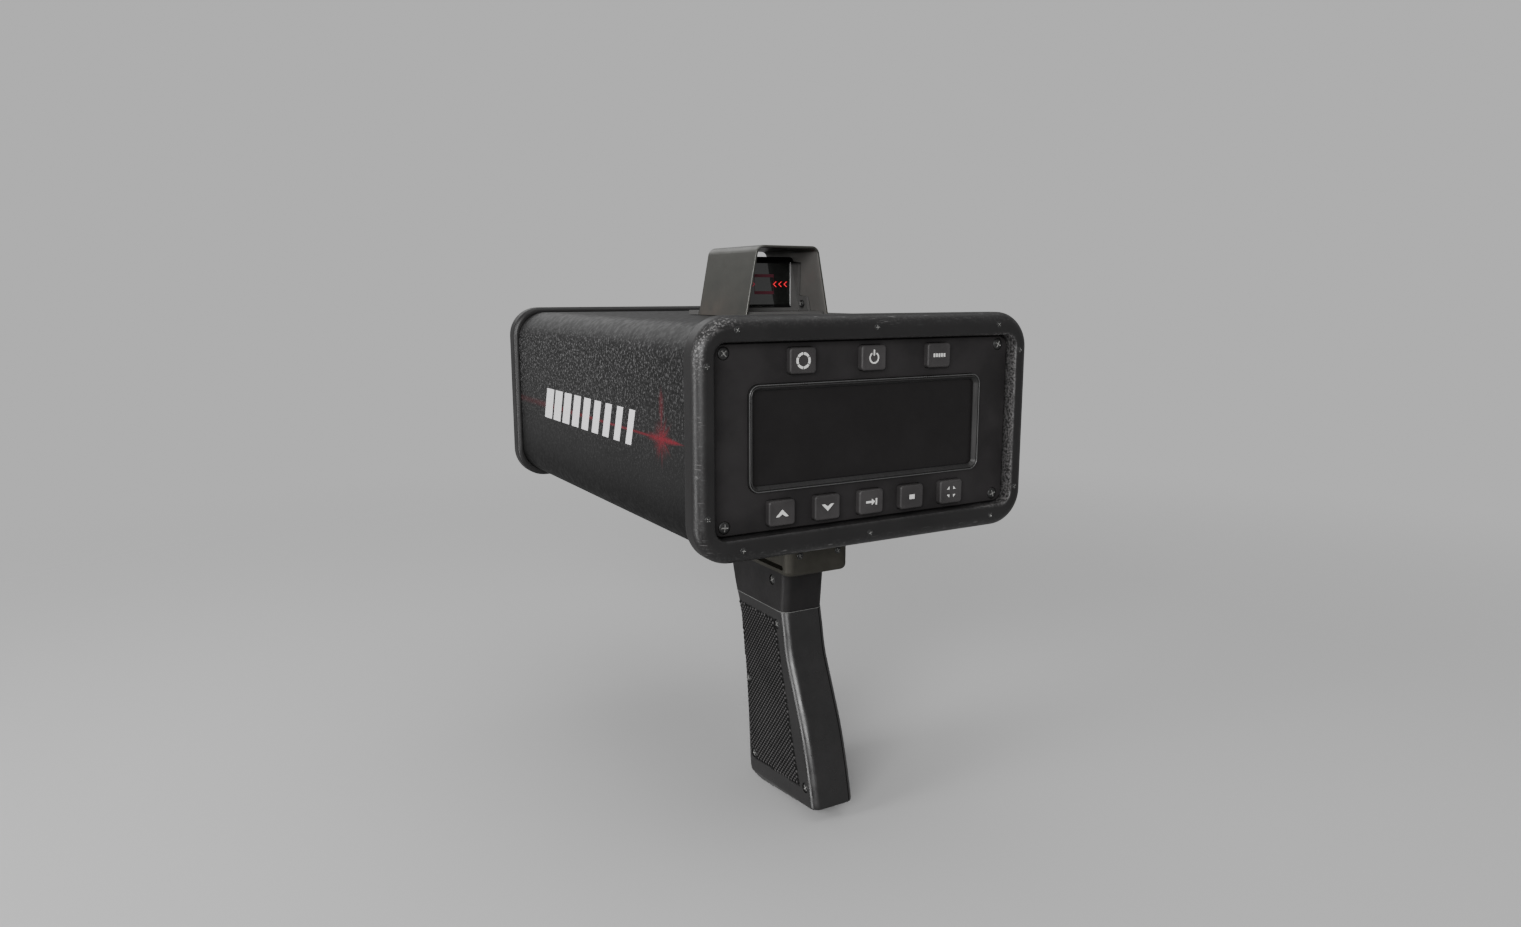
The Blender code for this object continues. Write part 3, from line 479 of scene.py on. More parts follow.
def burst_share(look):
    """How red the paint is: a beam along each side, and rays round the point where it ends."""
    y = look.calc("SUBTRACT", look.axis("Y"), BURST[0])
    z = look.calc("SUBTRACT", look.axis("Z"), BURST[1])
    distance = look.calc("SQRT", look.calc("ADD", look.product(y, y), look.product(z, z)))
    direction = {"X": look.calc("DIVIDE", y, distance), "Y": look.calc("DIVIDE", z, distance)}
    around = look.add("ShaderNodeCombineXYZ", direction).outputs["Vector"]
    reach = look.spread(look.noise(3.1, 3.0, 0.6, around), 0.36, 0.66, 4.0, 19.0)
    rays = look.calc("POWER", look.spread(distance, 0.0, reach, 1.0, 0.0), 1.6)
    glow = look.spread(distance, 3.0, 12.0, 0.30, 0.0)
    tail_width = look.spread(y, -30.0, -2.0, 0.3, 3.0)
    tail = look.product(look.spread(look.magnitude(z), 0.0, tail_width, 1.0, 0.0),
                        look.spread(y, -31.0, -14.0), look.spread(y, 22.0, 6.0))
    beam_width = look.spread(y, 60.0, 210.0, 1.1, 3.2)
    beam = look.product(look.spread(look.magnitude(z), 0.15, beam_width, 0.75, 0.0),
                        look.spread(y, -2.0, 2.0), look.spread(y, 236.0, 60.0, 0.2, 1.0))
    bulge = look.product(look.spread(z, 7.0, 15.0), look.spread(z, 27.0, 19.0))
    spike_width = look.spread(bulge, 0.0, 1.0, 1.6, 4.2)
    spike = look.product(look.spread(look.magnitude(y), 0.0, spike_width, 0.40, 0.0),
                         look.spread(z, -17.0, -6.0), look.spread(z, 28.0, 20.0))
    sides = look.spread(look.magnitude(look.axis("X")), SHELL[0] - 1.0, SHELL[0] - 0.2)
    worn = look.spread(look.noise(700.0, 3.0, 0.65), 0.30, 0.60, 0.45, 1.0)
    return look.product(look.most(rays, glow, spike, tail, beam), sides, worn)


def bumper_look():
    """Smooth soft rubber, worn pale along its outer edge with a painted highlight at the upper left corner, a
    painted highlight on its inner lip that is strongest on the right, and nicks on its edge.
    """
    look = Look("bumper_rubber_look", (0.0140, 0.0134, 0.0136), 0.38, specular=0.42)
    base = look.clouded(look.noise(28.0, 4.0), 0.9, 1.12)
    x, edge, specks = look.axis("X"), look.attribute("wear"), look.noise(820.0, 3.0, 0.7)
    # Edge wear along the outer rounding, lightened most at the upper left corner as a painted highlight
    corner = look.product(look.spread(x, -72.0, -94.0), look.spread(look.axis("Z"), 22.0, 48.0))
    worn_edge_lit_corner = look.product(look.spread(specks, 0.50, 0.62), edge, look.most(corner, 0.12))
    # Painted highlight on the inner lip, strongest towards the right side
    lip = look.product(look.spread(specks, 0.42, 0.58), look.attribute("lip"),
                       look.spread(x, 60.0, 88.0, 0.12, 0.8))
    scratches = look.noise(1.0, 2.0, 0.5, look.stretched((150.0, 150.0, 1300.0)))
    nicks = look.product(look.spread(scratches, 0.66, 0.72), edge, 0.6)
    # One pale colour for the wear, the nicks and the painted highlights
    share = look.most(worn_edge_lit_corner, lip, nicks)
    rough = look.spread(look.noise(110.0, 3.0), 0.25, 0.75, 0.33, 0.46)
    fine = look.bump(look.noise(1800.0, 2.0), 0.12, 0.00004)
    return look.finished(look.blend(share, base, (0.17, 0.165, 0.165)), rough,
                         look.bump(share, -0.5, 0.00006, fine))


def metal_look(name, colour, roughness, metallic, brushed, tone=None, specular=0.5):
    """Finished metal with fine brushed streaks, clouded gloss and an optional second tone."""
    look = Look(name, colour, roughness, metallic, specular)
    streaks = look.noise(1.0, 4.0, 0.6, look.stretched(brushed))
    cloud = look.noise(45.0, 4.0)
    base = look.clouded(streaks, 0.88, 1.12)
    if tone:
        base = look.blend(look.spread(cloud, 0.35, 0.75), base, tone)
    rough = look.spread(cloud, 0.3, 0.7, roughness - 0.08, roughness + 0.1)
    return look.finished(base, rough, look.bump(streaks, 0.18, 0.00005))


def hood_look():
    """Satin enamel on sheet metal: greenish grey, browner towards the foot, with a painted highlight on its
    left bend.
    """
    look = Look("hood_enamel", (0.055, 0.055, 0.049), 0.36, 0.35, 0.6)
    cloud = look.noise(38.0, 5.0, 0.6)
    streaks = look.noise(1.0, 3.0, 0.6, look.stretched((900.0, 60.0, 60.0)))
    height, top = look.axis("Z"), hood_high.z
    foot = look.spread(height, hood_low.z, hood_low.z + 22.0, 1.0, 0.0)
    brown = look.product(foot, look.spread(cloud, 0.25, 0.8))
    base = look.blend(brown, look.clouded(streaks, 0.93, 1.07), (0.082, 0.070, 0.060))
    # Painted highlight along the left bend below the top
    bend = look.product(look.spread(look.axis("X"), -15.0, -18.0), look.spread(height, top - 3.2, top - 1.8))
    base = look.blend(bend, base, (0.115, 0.115, 0.108))
    peel = look.bump(look.noise(420.0, 2.0), 0.12, 0.00005)
    return look.finished(base, look.spread(cloud, 0.3, 0.72, 0.28, 0.44),
                         look.bump(streaks, 0.08, 0.00003, peel))


def frame_look():
    """Grey paint on the sight's upright frame, darkened near black as painted shade under the roof and along
    the sill.
    """
    look = Look("frame_paint_look", (0.092, 0.090, 0.088), 0.45, specular=0.35)
    cloud = look.noise(60.0, 4.0, 0.6)
    height, across, half = look.axis("Z"), look.magnitude(look.axis("X")), window_high.x
    # Painted shade under the hood's roof and along the sill, where it is also less specular
    roof = look.spread(height, window_high.z - 2.5, window_high.z + 0.2)
    from_sill = look.magnitude(look.calc("SUBTRACT", height, window_low.z))
    sill = look.product(look.spread(from_sill, 1.4, 0.7), look.spread(across, half + 1.0, half))
    painted_shade = look.most(roof, sill)
    look.set("Specular IOR Level", look.spread(painted_shade, 0.0, 1.0, 0.35, 0.05))
    return look.finished(look.blend(painted_shade, look.clouded(cloud, 0.92, 1.08), (0.004, 0.004, 0.004)),
                         look.spread(cloud, 0.3, 0.7, 0.40, 0.52),
                         look.bump(look.noise(1300.0, 2.0), 0.2, 0.00004))


def display_look():
    """Dark glass over the display, faintly smudged."""
    look = Look("display_glass_look", (0.0140, 0.0130, 0.0132), 0.20, specular=0.22)
    smudge = look.noise(28.0, 5.0, 0.65)
    return look.finished(look.clouded(smudge, 0.9, 1.15, 0.3, 0.75),
                         look.spread(smudge, 0.35, 0.8, 0.16, 0.28),
                         look.bump(look.noise(1500.0, 1.0), 0.03, 0.00002))


def lens_look():
    """Coated optical glass: clear, with a violet-green sheen that varies a little."""
    look = Look("coated_lens", (0.30, 0.34, 0.42), 0.03)
    for socket, value in (("Transmission Weight", 0.86), ("IOR", 1.52), ("Coat Weight", 0.7),
                          ("Coat Roughness", 0.04)):
        look.set(socket, value)
    facing = look.add("ShaderNodeLayerWeight", {"Blend": 0.35}).outputs["Facing"]
    return look.finished(look.blend(facing, (0.22, 0.16, 0.42), (0.20, 0.42, 0.36)),
                         look.spread(look.noise(600.0, 3.0, 0.6), 0.55, 0.85, 0.02, 0.10))


def sight_glass_look():
    """Smoked sight glass that lets about a quarter of the light through."""
    look = Look("smoked_glass", (0.20, 0.21, 0.20), 0.04, specular=0.3)
    look.set("Alpha", 0.76)
    smudge = look.noise(90.0, 4.0, 0.6)
    base = look.blend(look.spread(smudge, 0.3, 0.7), (0.007, 0.008, 0.007), (0.013, 0.014, 0.013))
    return look.finished(base, look.spread(smudge, 0.4, 0.8, 0.05, 0.14))


def print_look(name, colour, roughness=0.45, glow=0.0):
    """Screen-printed ink with faint wear, or a lit mark where glow is given."""
    look = Look(name, colour, roughness, specular=0.35)
    specks = look.spread(look.noise(1500.0, 3.0, 0.65), 0.30, 0.55, 0.12, 0.0)
    if glow:
        look.set("Emission Color", colour)
        look.set("Emission Strength", glow)
    rough = look.spread(look.noise(300.0), 0.3, 0.7, roughness - 0.08, roughness + 0.1)
    return look.finished(look.blend(specks, colour, shade(colour, 0.35)), rough)


def board_look():
    """Green solder mask with copper tracks showing through."""
    look = Look("solder_mask", (0.01, 0.08, 0.03), 0.35)
    bricks = {"Vector": look.place, "Scale": 120.0, "Color1": (0.010, 0.085, 0.032),
              "Color2": (0.008, 0.065, 0.026), "Mortar": (0.035, 0.150, 0.050), "Mortar Size": 0.03}
    tracks = look.add("ShaderNodeTexBrick", bricks)
    return look.finished(tracks.outputs["Color"], 0.35, look.bump(tracks.outputs["Fac"], 0.3, 0.00004))


def wrap_look():
    """Shrink wrap on the battery: satin blue with a dark band of wrinkles."""
    look = Look("battery_wrap_look", (0.02, 0.05, 0.16), 0.35)
    wrinkles = look.noise(1.0, 3.0, 0.5, look.stretched((300.0, 300.0, 60.0)))
    base = look.blend(look.spread(wrinkles, 0.35, 0.7), (0.016, 0.040, 0.13), (0.026, 0.062, 0.19))
    return look.finished(base, 0.35, look.bump(wrinkles, 0.3, 0.0001))


FINE_ALONG_X, EVEN = (1500.0, 60.0, 60.0), (700.0, 700.0, 700.0)
# moulded: colour, roughness, grain, its depth and strength; metal: colour, roughness, metallic, streaks
LOOKS = {
    "shell": shell_look(),
    "bumper": bumper_look(),
    "panel": moulded("panel_plastic_look", (0.0186, 0.0170, 0.0175), 0.58, 2200.0, 0.00004, 0.3, 0.3),
    "button": moulded("button_rubber_look", (0.040, 0.0375, 0.0380), 0.50, 1900.0, 0.00004, 0.3),
    "bezel": metal_look("bezel_metal_look", (0.048, 0.047, 0.047), 0.36, 0.5, FINE_ALONG_X),
    # Painted highlight: a lighter copy of the bezel's metal for its outer rim
    "bezel_lip": metal_look("bezel_lip_look", (0.13, 0.13, 0.13), 0.34, 0.6, FINE_ALONG_X),
    "display": display_look(),
    "lens": lens_look(),
    "sight_glass": sight_glass_look(),
    "hood": hood_look(),
    # Painted light: a lighter paint on the hood's inner walls, standing in for the light that reaches inside
    "hood_inside": moulded("hood_inner_painted_light", (0.120, 0.116, 0.110), 0.45, 1100.0, 0.00005, 0.2,
                           mottle=0.1),
    "bracket": metal_look("bracket_metal_look", (0.056, 0.053, 0.045), 0.56, 0.4, (60.0, 900.0, 60.0),
                          tone=(0.042, 0.040, 0.033), specular=0.25),
    "neck": moulded("neck_plastic_look", (0.0128, 0.0118, 0.0121), 0.50, 1700.0, 0.00004, 0.28, 0.32),
    "grip": moulded("grip_plastic_look", (0.0105, 0.0098, 0.0100), 0.33, 1700.0, 0.00004, 0.2, 0.8),
    # Near-black base with lighter crowns: painted shade in the texture's valleys and a painted highlight on
    # its crowns
    "knurl": moulded("grip_texture_look", (0.0008, 0.0008, 0.0008), 0.50, 2000.0, 0.00003, 0.2, 0.18,
                     crown_highlight=(0.085, 0.081, 0.082)),
    "frame": frame_look(),
    "gasket": moulded("gasket_rubber_look", (0.0040, 0.0038, 0.0038), 0.60, 1500.0, 0.00003, 0.2, 0.12),
    # Painted highlight: a pale copy of the frame's metal for the jamb faces of the window's right side
    "jamb": metal_look("painted_jamb_highlight", (0.60, 0.60, 0.60), 0.40, 0.2, (900.0, 900.0, 60.0)),
    "screw": metal_look("black_screw_look", (0.045, 0.045, 0.045), 0.40, 0.6, (500.0, 500.0, 500.0)),
    # The bright recess looks: worn bare steel, lighter as a painted glint
    "screw_edge": metal_look("worn_glinting_screw_look", (0.42, 0.42, 0.41), 0.34, 0.35, EVEN),
    "screw_dull": metal_look("dull_glinting_screw_look", (0.42, 0.42, 0.41), 0.40, 0.35, EVEN),
    "steel": metal_look("bright_steel_look", (0.42, 0.42, 0.43), 0.30, 1.0, (400.0, 400.0, 1500.0)),
    "aluminium": metal_look("inner_aluminium_look", (0.32, 0.32, 0.33), 0.38, 1.0, (1200.0, 60.0, 60.0)),
    "inner": moulded("inner_plastic_look", (0.020, 0.020, 0.021), 0.45, 1500.0, 0.00005, 0.3),
    # Painted highlight: the pale colour of the ridge between the neck and the grip
    "seam": moulded("seam_painted_highlight", (0.17, 0.17, 0.167), 0.40, 1500.0, 0.00003, 0.2),
    "white": print_look("white_ink", (0.78, 0.77, 0.78)),
    "icon": print_look("icon_ink", (0.72, 0.72, 0.70)),
    "lit_red": print_look("lit_red_mark", (0.85, 0.02, 0.035), 0.4, glow=0.8),
    "lit_dim": print_look("dim_lit_mark", (0.42, 0.03, 0.06), 0.4, glow=0.35),
    "lit_faint": print_look("faint_lit_mark", (0.085, 0.016, 0.026), 0.4, glow=0.13),
    "board": board_look(),
    "wrap": wrap_look(),
}

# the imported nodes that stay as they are, by their material slot
SLOT_LOOKS = {
    "shell_paint": "shell", "bumper_rubber": "bumper", "panel_plastic": "panel",
    "button_plastic": "button", "bezel_metal": "bezel", "dark_glass": "display",
    "lens_glass": "lens", "hood_paint": "hood", "bracket_aluminium": "aluminium",
    "grip_plastic": "grip", "steel": "steel", "circuit_board": "board",
    "inner_plastic": "inner", "battery_wrap": "wrap",
}


def dress_nodes():
    for obj in frame["nodes"].values():
        for material_slot in obj.material_slots:
            material_slot.material = LOOKS[SLOT_LOOKS[material_slot.material.name.split(".")[0]]]


# ------------------------------------------------------------------ body
def body_shell():
    """The painted tube, with a screw post in each rear corner."""
    rear, front = shell_low.y, shell_high.y
    inner = inset(SHELL, SHELL_WALL)
    tube = shaped(loft, [upright_ring(SHELL, rear), upright_ring(SHELL, front),
                         upright_ring(inner, front), upright_ring(inner, rear)], closed=True)
    post_rear, post_length = PANEL_BACK + GAP, 14.0
    near, far = (81.5, 37.6), (94.0, 50.5)
    posts = bmesh.new()
    for side in (-1, 1):
        for level in (-1, 1):
            x = sorted((side * near[0], side * far[0]))
            z = sorted((level * near[1], level * far[1]))
            block(posts, (x[0], post_rear, z[0]), (x[1], post_rear + post_length, z[1]))
    make_piece("body_shell_skin", carved(tube, posts, "UNION"), "shell",
               stands_for=["body_shell"])


def bumper_profile():
    """(share of the way from the outside to the opening, depth, wear, lip) round the bumper's section."""
    round_depth, face_start, face_end, lip, steps = 6.5, 0.58, 0.84, 1.5, 16
    points = []
    for i in range(steps + 1):
        a = pi / 2 * i / steps
        points.append((face_start * (1 - cos(a)), round_depth * (1 - sin(a)), sin(2 * a) ** 2, 0.0))
    for i in range(7):
        a = pi / 2 * i / 6
        points.append((face_end + (1 - face_end) * sin(a), lip * (1 - cos(a)), 0.0, sin(a) ** 2))
    points.append((1.0, RECESS + PANEL_DEPTH - GAP, 0.0, 0.2))
    return points


def bumper(name, node, place):
    """A soft end ring round the shell's edge; place turns a depth behind its open face into Y."""
    fit = inset(SHELL, -GAP)
    end, step = RECESS + LIP_DEPTH, RECESS + PANEL_DEPTH - GAP
    profile = bumper_profile()
    bm = bmesh.new()
    wear, lip = (bm.verts.layers.float.new(layer) for layer in ("wear", "lip"))
    rings = [upright_ring(fit, place(step)), upright_ring(fit, place(end))]
    soft = BUMPER[0] - SHELL[0] - 2 * GAP
    rings += [upright_ring(inset(BUMPER, u), place(v)) for u, v in arc((soft, end - soft), soft, 90, 180, 10)]
    start = len(rings)
    rings += [upright_ring(mix(BUMPER, OPENING, share), place(depth)) for share, depth, *_ in profile]
    rows = loft(bm, rings, closed=True)
    for row, (*_, edge_wear, lip_wear) in zip(rows[start:], profile):
        for vert in row:
            vert[wear], vert[lip] = edge_wear, lip_wear
    make_piece(name, bm, "bumper", stands_for=[node], sharp=40)


def panel_rings(place):
    """An end panel: a raised island with a rounded rim, on a wider flange."""
    flange = inset(SHELL, SHELL_WALL + GAP)
    rings = [upright_ring(flange, place(PANEL_BACK)), upright_ring(flange, place(PANEL_DEPTH + GAP)),
             upright_ring(ISLAND, place(PANEL_DEPTH + GAP))]
    return rings + [upright_ring(inset(ISLAND, u), place(v)) for u, v in arc((0.4, 0.4), 0.4, 180, 270, 4)]


def rear_panel():
    ahead, back = -1.0, PANEL_BACK + 1.0
    hole = inset(DISPLAY, -GAP)
    tool = shaped(loft, [upright_ring(hole, ahead), upright_ring(hole, back)])
    for name in BUTTONS:
        centre, key = button_place(name)
        well = inset(key, -GAP)
        loft(tool, [upright_ring(well, ahead, centre, 6), upright_ring(well, back, centre, 6)])
    for name in PANEL_SCREWS:
        x, _, z = middle_of(name)
        turned(tool, [(1.7, back), (1.7, 1.0), (3.3, 1.0), (3.3, ahead)], (x, 0, z), AHEAD, 32)
    panel = shaped(loft, panel_rings(lambda depth: depth))
    make_piece("control_panel", carved(panel, tool), "panel", stands_for=["rear_panel"])


def button_place(name):
    """A button's centre as (x, z), and the outline of its key."""
    low, high = span(name)
    key = (high.x - low.x) / 2 - KEY_FLANGE, (high.z - low.z) / 2 - KEY_FLANGE, 1.9
    return middle_of(name)[::2], key


# ------------------------------------------------------------------ screws
def cross_outline(arm, half):
    return [(arm, -half), (arm, half), (half, half), (half, arm), (-half, arm), (-half, half),
            (-arm, half), (-arm, -half), (-half, -half), (-half, -arm), (half, -arm), (half, -half)]


def screw_mesh(head_radius, head_height, shank_radius, shank_length, spin):
    """A domed cross-recess screw along +Z, its head's underside at zero; the recess is bright, worn steel
    with a painted glint.
    """
    dome = [(head_radius * cos(a), head_height * (0.45 + 0.55 * sin(a)))
            for a in (radians(15 * i) for i in range(6))]
    bm = shaped(turned, [(shank_radius, -shank_length), (shank_radius, 0.0), (head_radius, 0.0), *dome,
                         (head_radius * 0.08, head_height)], (0, 0, 0), (0, 0, 1), 32)
    arm, half, narrowing = head_radius * 0.66, head_radius * 0.10, 0.82
    turn = Matrix.Rotation(spin, 3, "Z")
    rings = [[turn @ Vector((u * share, v * share, level)) for u, v in cross_outline(arm, half)]
             for share, level in ((narrowing, head_height * 0.25), (1.0, head_height + 0.02))]
    return carved(bm, shaped(loft, rings, index=1))


def screw(name, centre, axis, sizes, spin, stands_for=(), recess="screw_dull"):
    """A screw whose head's underside lies at the centre and whose head points along the axis."""
    turn = Vector((0, 0, 1)).rotation_difference(Vector(axis)).to_matrix().to_4x4()
    bm = screw_mesh(*sizes, radians(spin))
    bmesh.ops.transform(bm, matrix=Matrix.Translation(Vector(centre)) @ turn, verts=bm.verts)
    make_piece(name, bm, ["screw", recess], stands_for=stands_for)


def panel_screws():
    """Four in the control panel and four like them in the front panel."""
    for number, node in enumerate(PANEL_SCREWS):
        x, _, z = middle_of(node)
        screw(f"{node}_head", (x, 0.7, z), (0, -1, 0), PANEL_SCREW, 40 + 23 * number, [node], "screw_edge")
        screw(f"front_panel_screw_{number + 1}", (x, FRONT_FACE - 0.2, z), AHEAD, FRONT_SCREW,
              15 + 31 * number)


def bumper_screws():
    """Ten small screws in the face of each bumper, set a little unevenly."""
    spots = [(-81.9, 53.1), (-1.4, 53.1), (80.5, 53.1), (-79.0, -53.0), (-3.5, -53.0), (79.4, -53.0),
             (-98.0, 36.6), (-98.0, -35.5), (96.5, 38.9), (96.5, -37.9)]
    sunk = RECESS - 0.12
    for end, y, direction in (("rear", -sunk, -1), ("front", FRONT_FACE + sunk, 1)):
        for number, (x, z) in enumerate(spots, 1):
            screw(f"{end}_bumper_screw_{number}", (x, y, z), (0, direction, 0), BUMPER_SCREW,
                  20 + 37 * number, recess="screw_edge")


# ------------------------------------------------------------------ display and keys
def display():
    """The bezel's double rim, the dark window and two locating pips on the bezel's upper edge."""
    front = bezel_low.y
    lip = arc((0.32, front + 0.32), 0.32, 180, 360, 8)
    groove = [(0.70, front + 1.0), (1.02, front + 1.0)]
    bevel = arc((1.40, front + 0.38), 0.36, 180, 290, 6)
    foot = [(2.9, 0.45), (2.9, 1.2), (1.2, 1.2), (1.2, 4.0)]
    section = [(0.0, 4.0)] + lip + groove + bevel + foot
    bm = bmesh.new()
    rows = loft(bm, [upright_ring(inset(DISPLAY, u), v) for u, v in section], closed=True)
    lip_verts = {vert for row in rows[1:1 + len(lip)] for vert in row}
    # The outer rim gets the lighter, painted-highlight metal
    second_look(bm, lambda face: all(vert in lip_verts for vert in face.verts))
    make_piece("display_rim", bm, ["bezel", "bezel_lip"], stands_for=["display_bezel"],
               sharp=28)
    pane = inset(DISPLAY, 1.5)
    bm = shaped(loft, [upright_ring(pane, 3.5), upright_ring(pane, 1.6), upright_ring(inset(pane, 0.1), 1.5)])
    make_piece("display_pane", bm, "display", stands_for=["display_window"])
    dome = [(0.62 * cos(a), 0.5 + 0.4 * sin(a)) for a in (radians(22 * i) for i in range(1, 4))]
    for number, x in enumerate((-42.0, 35.0), 1):
        bm = shaped(turned, [(0.62, 0.0), (0.62, 0.5)] + dome, (x, front + 0.4, DISPLAY[1] - 0.35),
                    (0, -1, 0), 16)
        make_piece(f"display_pip_{number}", bm, "bezel")


def keys():
    """Soft-edged keys, each with its printed mark."""
    foot_front = PANEL_BACK + GAP
    for name in BUTTONS:
        low, high = span(name)
        centre, key = button_place(name)
        foot = (key[0] + KEY_FLANGE, key[1] + KEY_FLANGE, key[2])
        rings = [(foot, high.y), (foot, foot_front), (key, foot_front)]
        rings += [(inset(key, u), low.y + v) for u, v in arc((1.0, 1.0), 1.0, 180, 270, 7)]
        rings += [(inset(key, 1.7), low.y + 0.02), (inset(key, 2.4), low.y + 0.10)]
        bm = shaped(loft, [upright_ring(outline, y, centre, 8) for outline, y in rings])
        make_piece(f"{name}_key", bm, "button", body=name, stands_for=[name])
        bm = bmesh.new()
        for outline in MARKS[name]:
            plate(bm, outline, low.y + 0.2, 0.16, centre)
        make_piece(f"{name}_mark", bm, "icon", body=name)


def ring_part(inner, outer, start, end, steps=10):
    """A piece of a flat ring between two angles in degrees."""
    return arc((0, 0), outer, start, end, steps) + arc((0, 0), inner, end, start, steps)


def box_outline(x, z, wide, tall):
    return [(x - wide / 2, z - tall / 2), (x + wide / 2, z - tall / 2),
            (x + wide / 2, z + tall / 2), (x - wide / 2, z + tall / 2)]


def chevron(width, height, stroke, flip=1):
    """An open arrow head that points up, or down if flip is -1."""
    half = width / 2
    points = [(-half, -height / 2), (0, height / 2), (half, -height / 2), (half - stroke, -height / 2),
              (0, height / 2 - stroke * 1.3), (-half + stroke, -height / 2)]
    return [(u, v * flip) for u, v in points]


# six parts of a ring, a broken ring with a bar, five slots, arrow heads up and down, an arrow that
# leaves through a bar, a filled block, and four small arrow heads that point at the middle
MARKS = {
    "target_button": [ring_part(2.85, 4.1, 60 * k + 94, 60 * k + 146) for k in range(6)],
    "power_button": [ring_part(2.25, 3.05, 122, 418, 28), box_outline(0, 2.6, 0.85, 2.9)],
    "memory_button": [box_outline(-3.4 + 1.7 * k, 0, 1.1, 1.9) for k in range(5)],
    "up_button": [chevron(7.4, 3.6, 1.8)],
    "down_button": [chevron(7.4, 3.6, 1.8, -1)],
    "exit_button": [[(-3.4, -0.55), (0.2, -0.55), (0.2, -1.7), (2.3, 0.0), (0.2, 1.7), (0.2, 0.55),
                     (-3.4, 0.55)], box_outline(3.1, 0, 0.9, 3.4)],
    "stop_button": [box_outline(0, 0, 3.4, 2.4)],
    "aim_button": [[(su * u, sv * v) for u, v in ((1.3, 1.4), (3.0, 1.5), (1.4, 3.1))]
                   for su in (-1, 1) for sv in (-1, 1)],
}


# ------------------------------------------------------------------ side graphic
def side_graphic(side, name):
    """A stripe of slanted bars on the left (-1) or right (1) side, printed over the red beam."""
    top, bottom, lean = 8.6, -10.9, 3.4
    front, rear, bars = 222.0, 67.0, 9
    sunk, proud = -0.05, 0.07
    pitch = (front - rear) / bars
    bm = bmesh.new()
    for k in range(bars):
        start = front - pitch * k
        width = pitch * (0.80 - 0.045 * k)
        shape = [(start - lean, top), (start - lean - width, top), (start + lean - width, bottom),
                 (start + lean, bottom)]
        loft(bm, [[(side * (SHELL[0] + lift), y, z) for y, z in shape] for lift in (sunk, proud)])
    make_piece(f"stripe_{name}", bm, "white")


# ------------------------------------------------------------------ front end
def optics(name):
    """One lens, its barrel with light baffles and its retaining ring."""
    low, high = span(f"{name}_lens")
    lens = (high.x - low.x) / 2
    x, _, z = middle_of(f"{name}_lens")
    end, centre = high.y, (x, 0, z)
    front_curve, thickness, rear_curve = 3.5, 8.6, 1.6
    sphere = (lens ** 2 + front_curve ** 2) / (2 * front_curve)
    profile = [(0.3, end - thickness)]
    profile += [(lens * t, end - thickness + rear_curve * t * t) for t in (0.25, 0.5, 0.75, 1.0)]
    profile += [(lens, end - front_curve)]
    for k in range(1, 13):
        radius = lens * cos(pi / 2 * k / 12.6)
        profile.append((radius, end - sphere + sqrt(sphere ** 2 - radius ** 2)))
    make_piece(f"{name}_glass", shaped(turned, profile, centre, AHEAD, 96), "lens",
               stands_for=[f"{name}_lens"])

    barrel_low, barrel_high = span(f"{name}_barrel")
    outer = (barrel_high.x - barrel_low.x) / 2
    bore, front, back = lens + GAP, barrel_high.y, barrel_low.y
    taper_start = front - 34.0
    tail = bore * (0.53 if name == "receiver" else 0.48)
    inside = [(tail, back)]
    baffles = 9
    for k in range(baffles):
        share = k / baffles
        radius = tail + (bore - tail) * share
        y = back + (taper_start - 2.0 - back) * share
        inside += [(radius, y), (radius, y + 2.2), (radius + 1.6, y + 2.4), (radius + 1.6, y + 5.0)]
    inside += [(bore, taper_start - 1.0), (bore, front)]
    outside = [(outer, front), (outer, taper_start), ((bore + tail) / 2 + 4.0, taper_start - 8.0),
               (tail + 3.4, back)]
    make_piece(f"{name}_tube", shaped(turned, outside + inside, centre, AHEAD, 72, closed=True), "inner",
               stands_for=[f"{name}_barrel"])

    ring_low, ring_high = span(f"{name}_ring")
    rim, hole = (ring_high.x - ring_low.x) / 2, lens - 1.6
    y, top = ring_low.y, ring_high.y
    profile = [(rim, y)] + [(rim - 0.8 + u, top - 0.8 + v) for u, v in arc((0, 0), 0.8, 0, 90, 5)]
    profile += [(rim - 2.0, top), (rim - 2.3, top - 0.5), (rim - 2.9, top - 0.5), (rim - 3.2, top)]
    profile += [(hole + 1.6 + u, top - 0.6 + v) for u, v in arc((0, 0), 0.6, 90, 180, 4)]
    profile += [(hole, top - 2.0), (hole, y)]
    tool = bmesh.new()
    for k in range(4):
        angle = pi / 4 + pi / 2 * k
        spot = (x + (rim + hole) / 2 * cos(angle), 0, z + (rim + hole) / 2 * sin(angle))
        turned(tool, [(0.7, top - 1.4), (0.7, top + 1.0)], spot, AHEAD, 16)
    ring = shaped(turned, profile, centre, AHEAD, 96, closed=True)
    make_piece(f"{name}_bezel", carved(ring, tool), "inner", stands_for=[f"{name}_ring"],
               sharp=28)
    return centre, outer


def front_end():
    panel = shaped(loft, panel_rings(lambda depth: FRONT_FACE - depth))
    tool = bmesh.new()
    for name in ("receiver", "transmitter"):
        centre, outer = optics(name)
        turned(tool, [(outer + GAP, FRONT_FACE - 8.0), (outer + GAP, FRONT_FACE + 3.0)], centre, AHEAD, 72)
    make_piece("nose_panel", carved(panel, tool), "panel", stands_for=["front_panel"])


# ------------------------------------------------------------------ sight
def hood_half_width(z):
    """Half the hood's outer width at height z."""
    return hood_high.x - HOOD_LEAN * (z - hood_low.z)


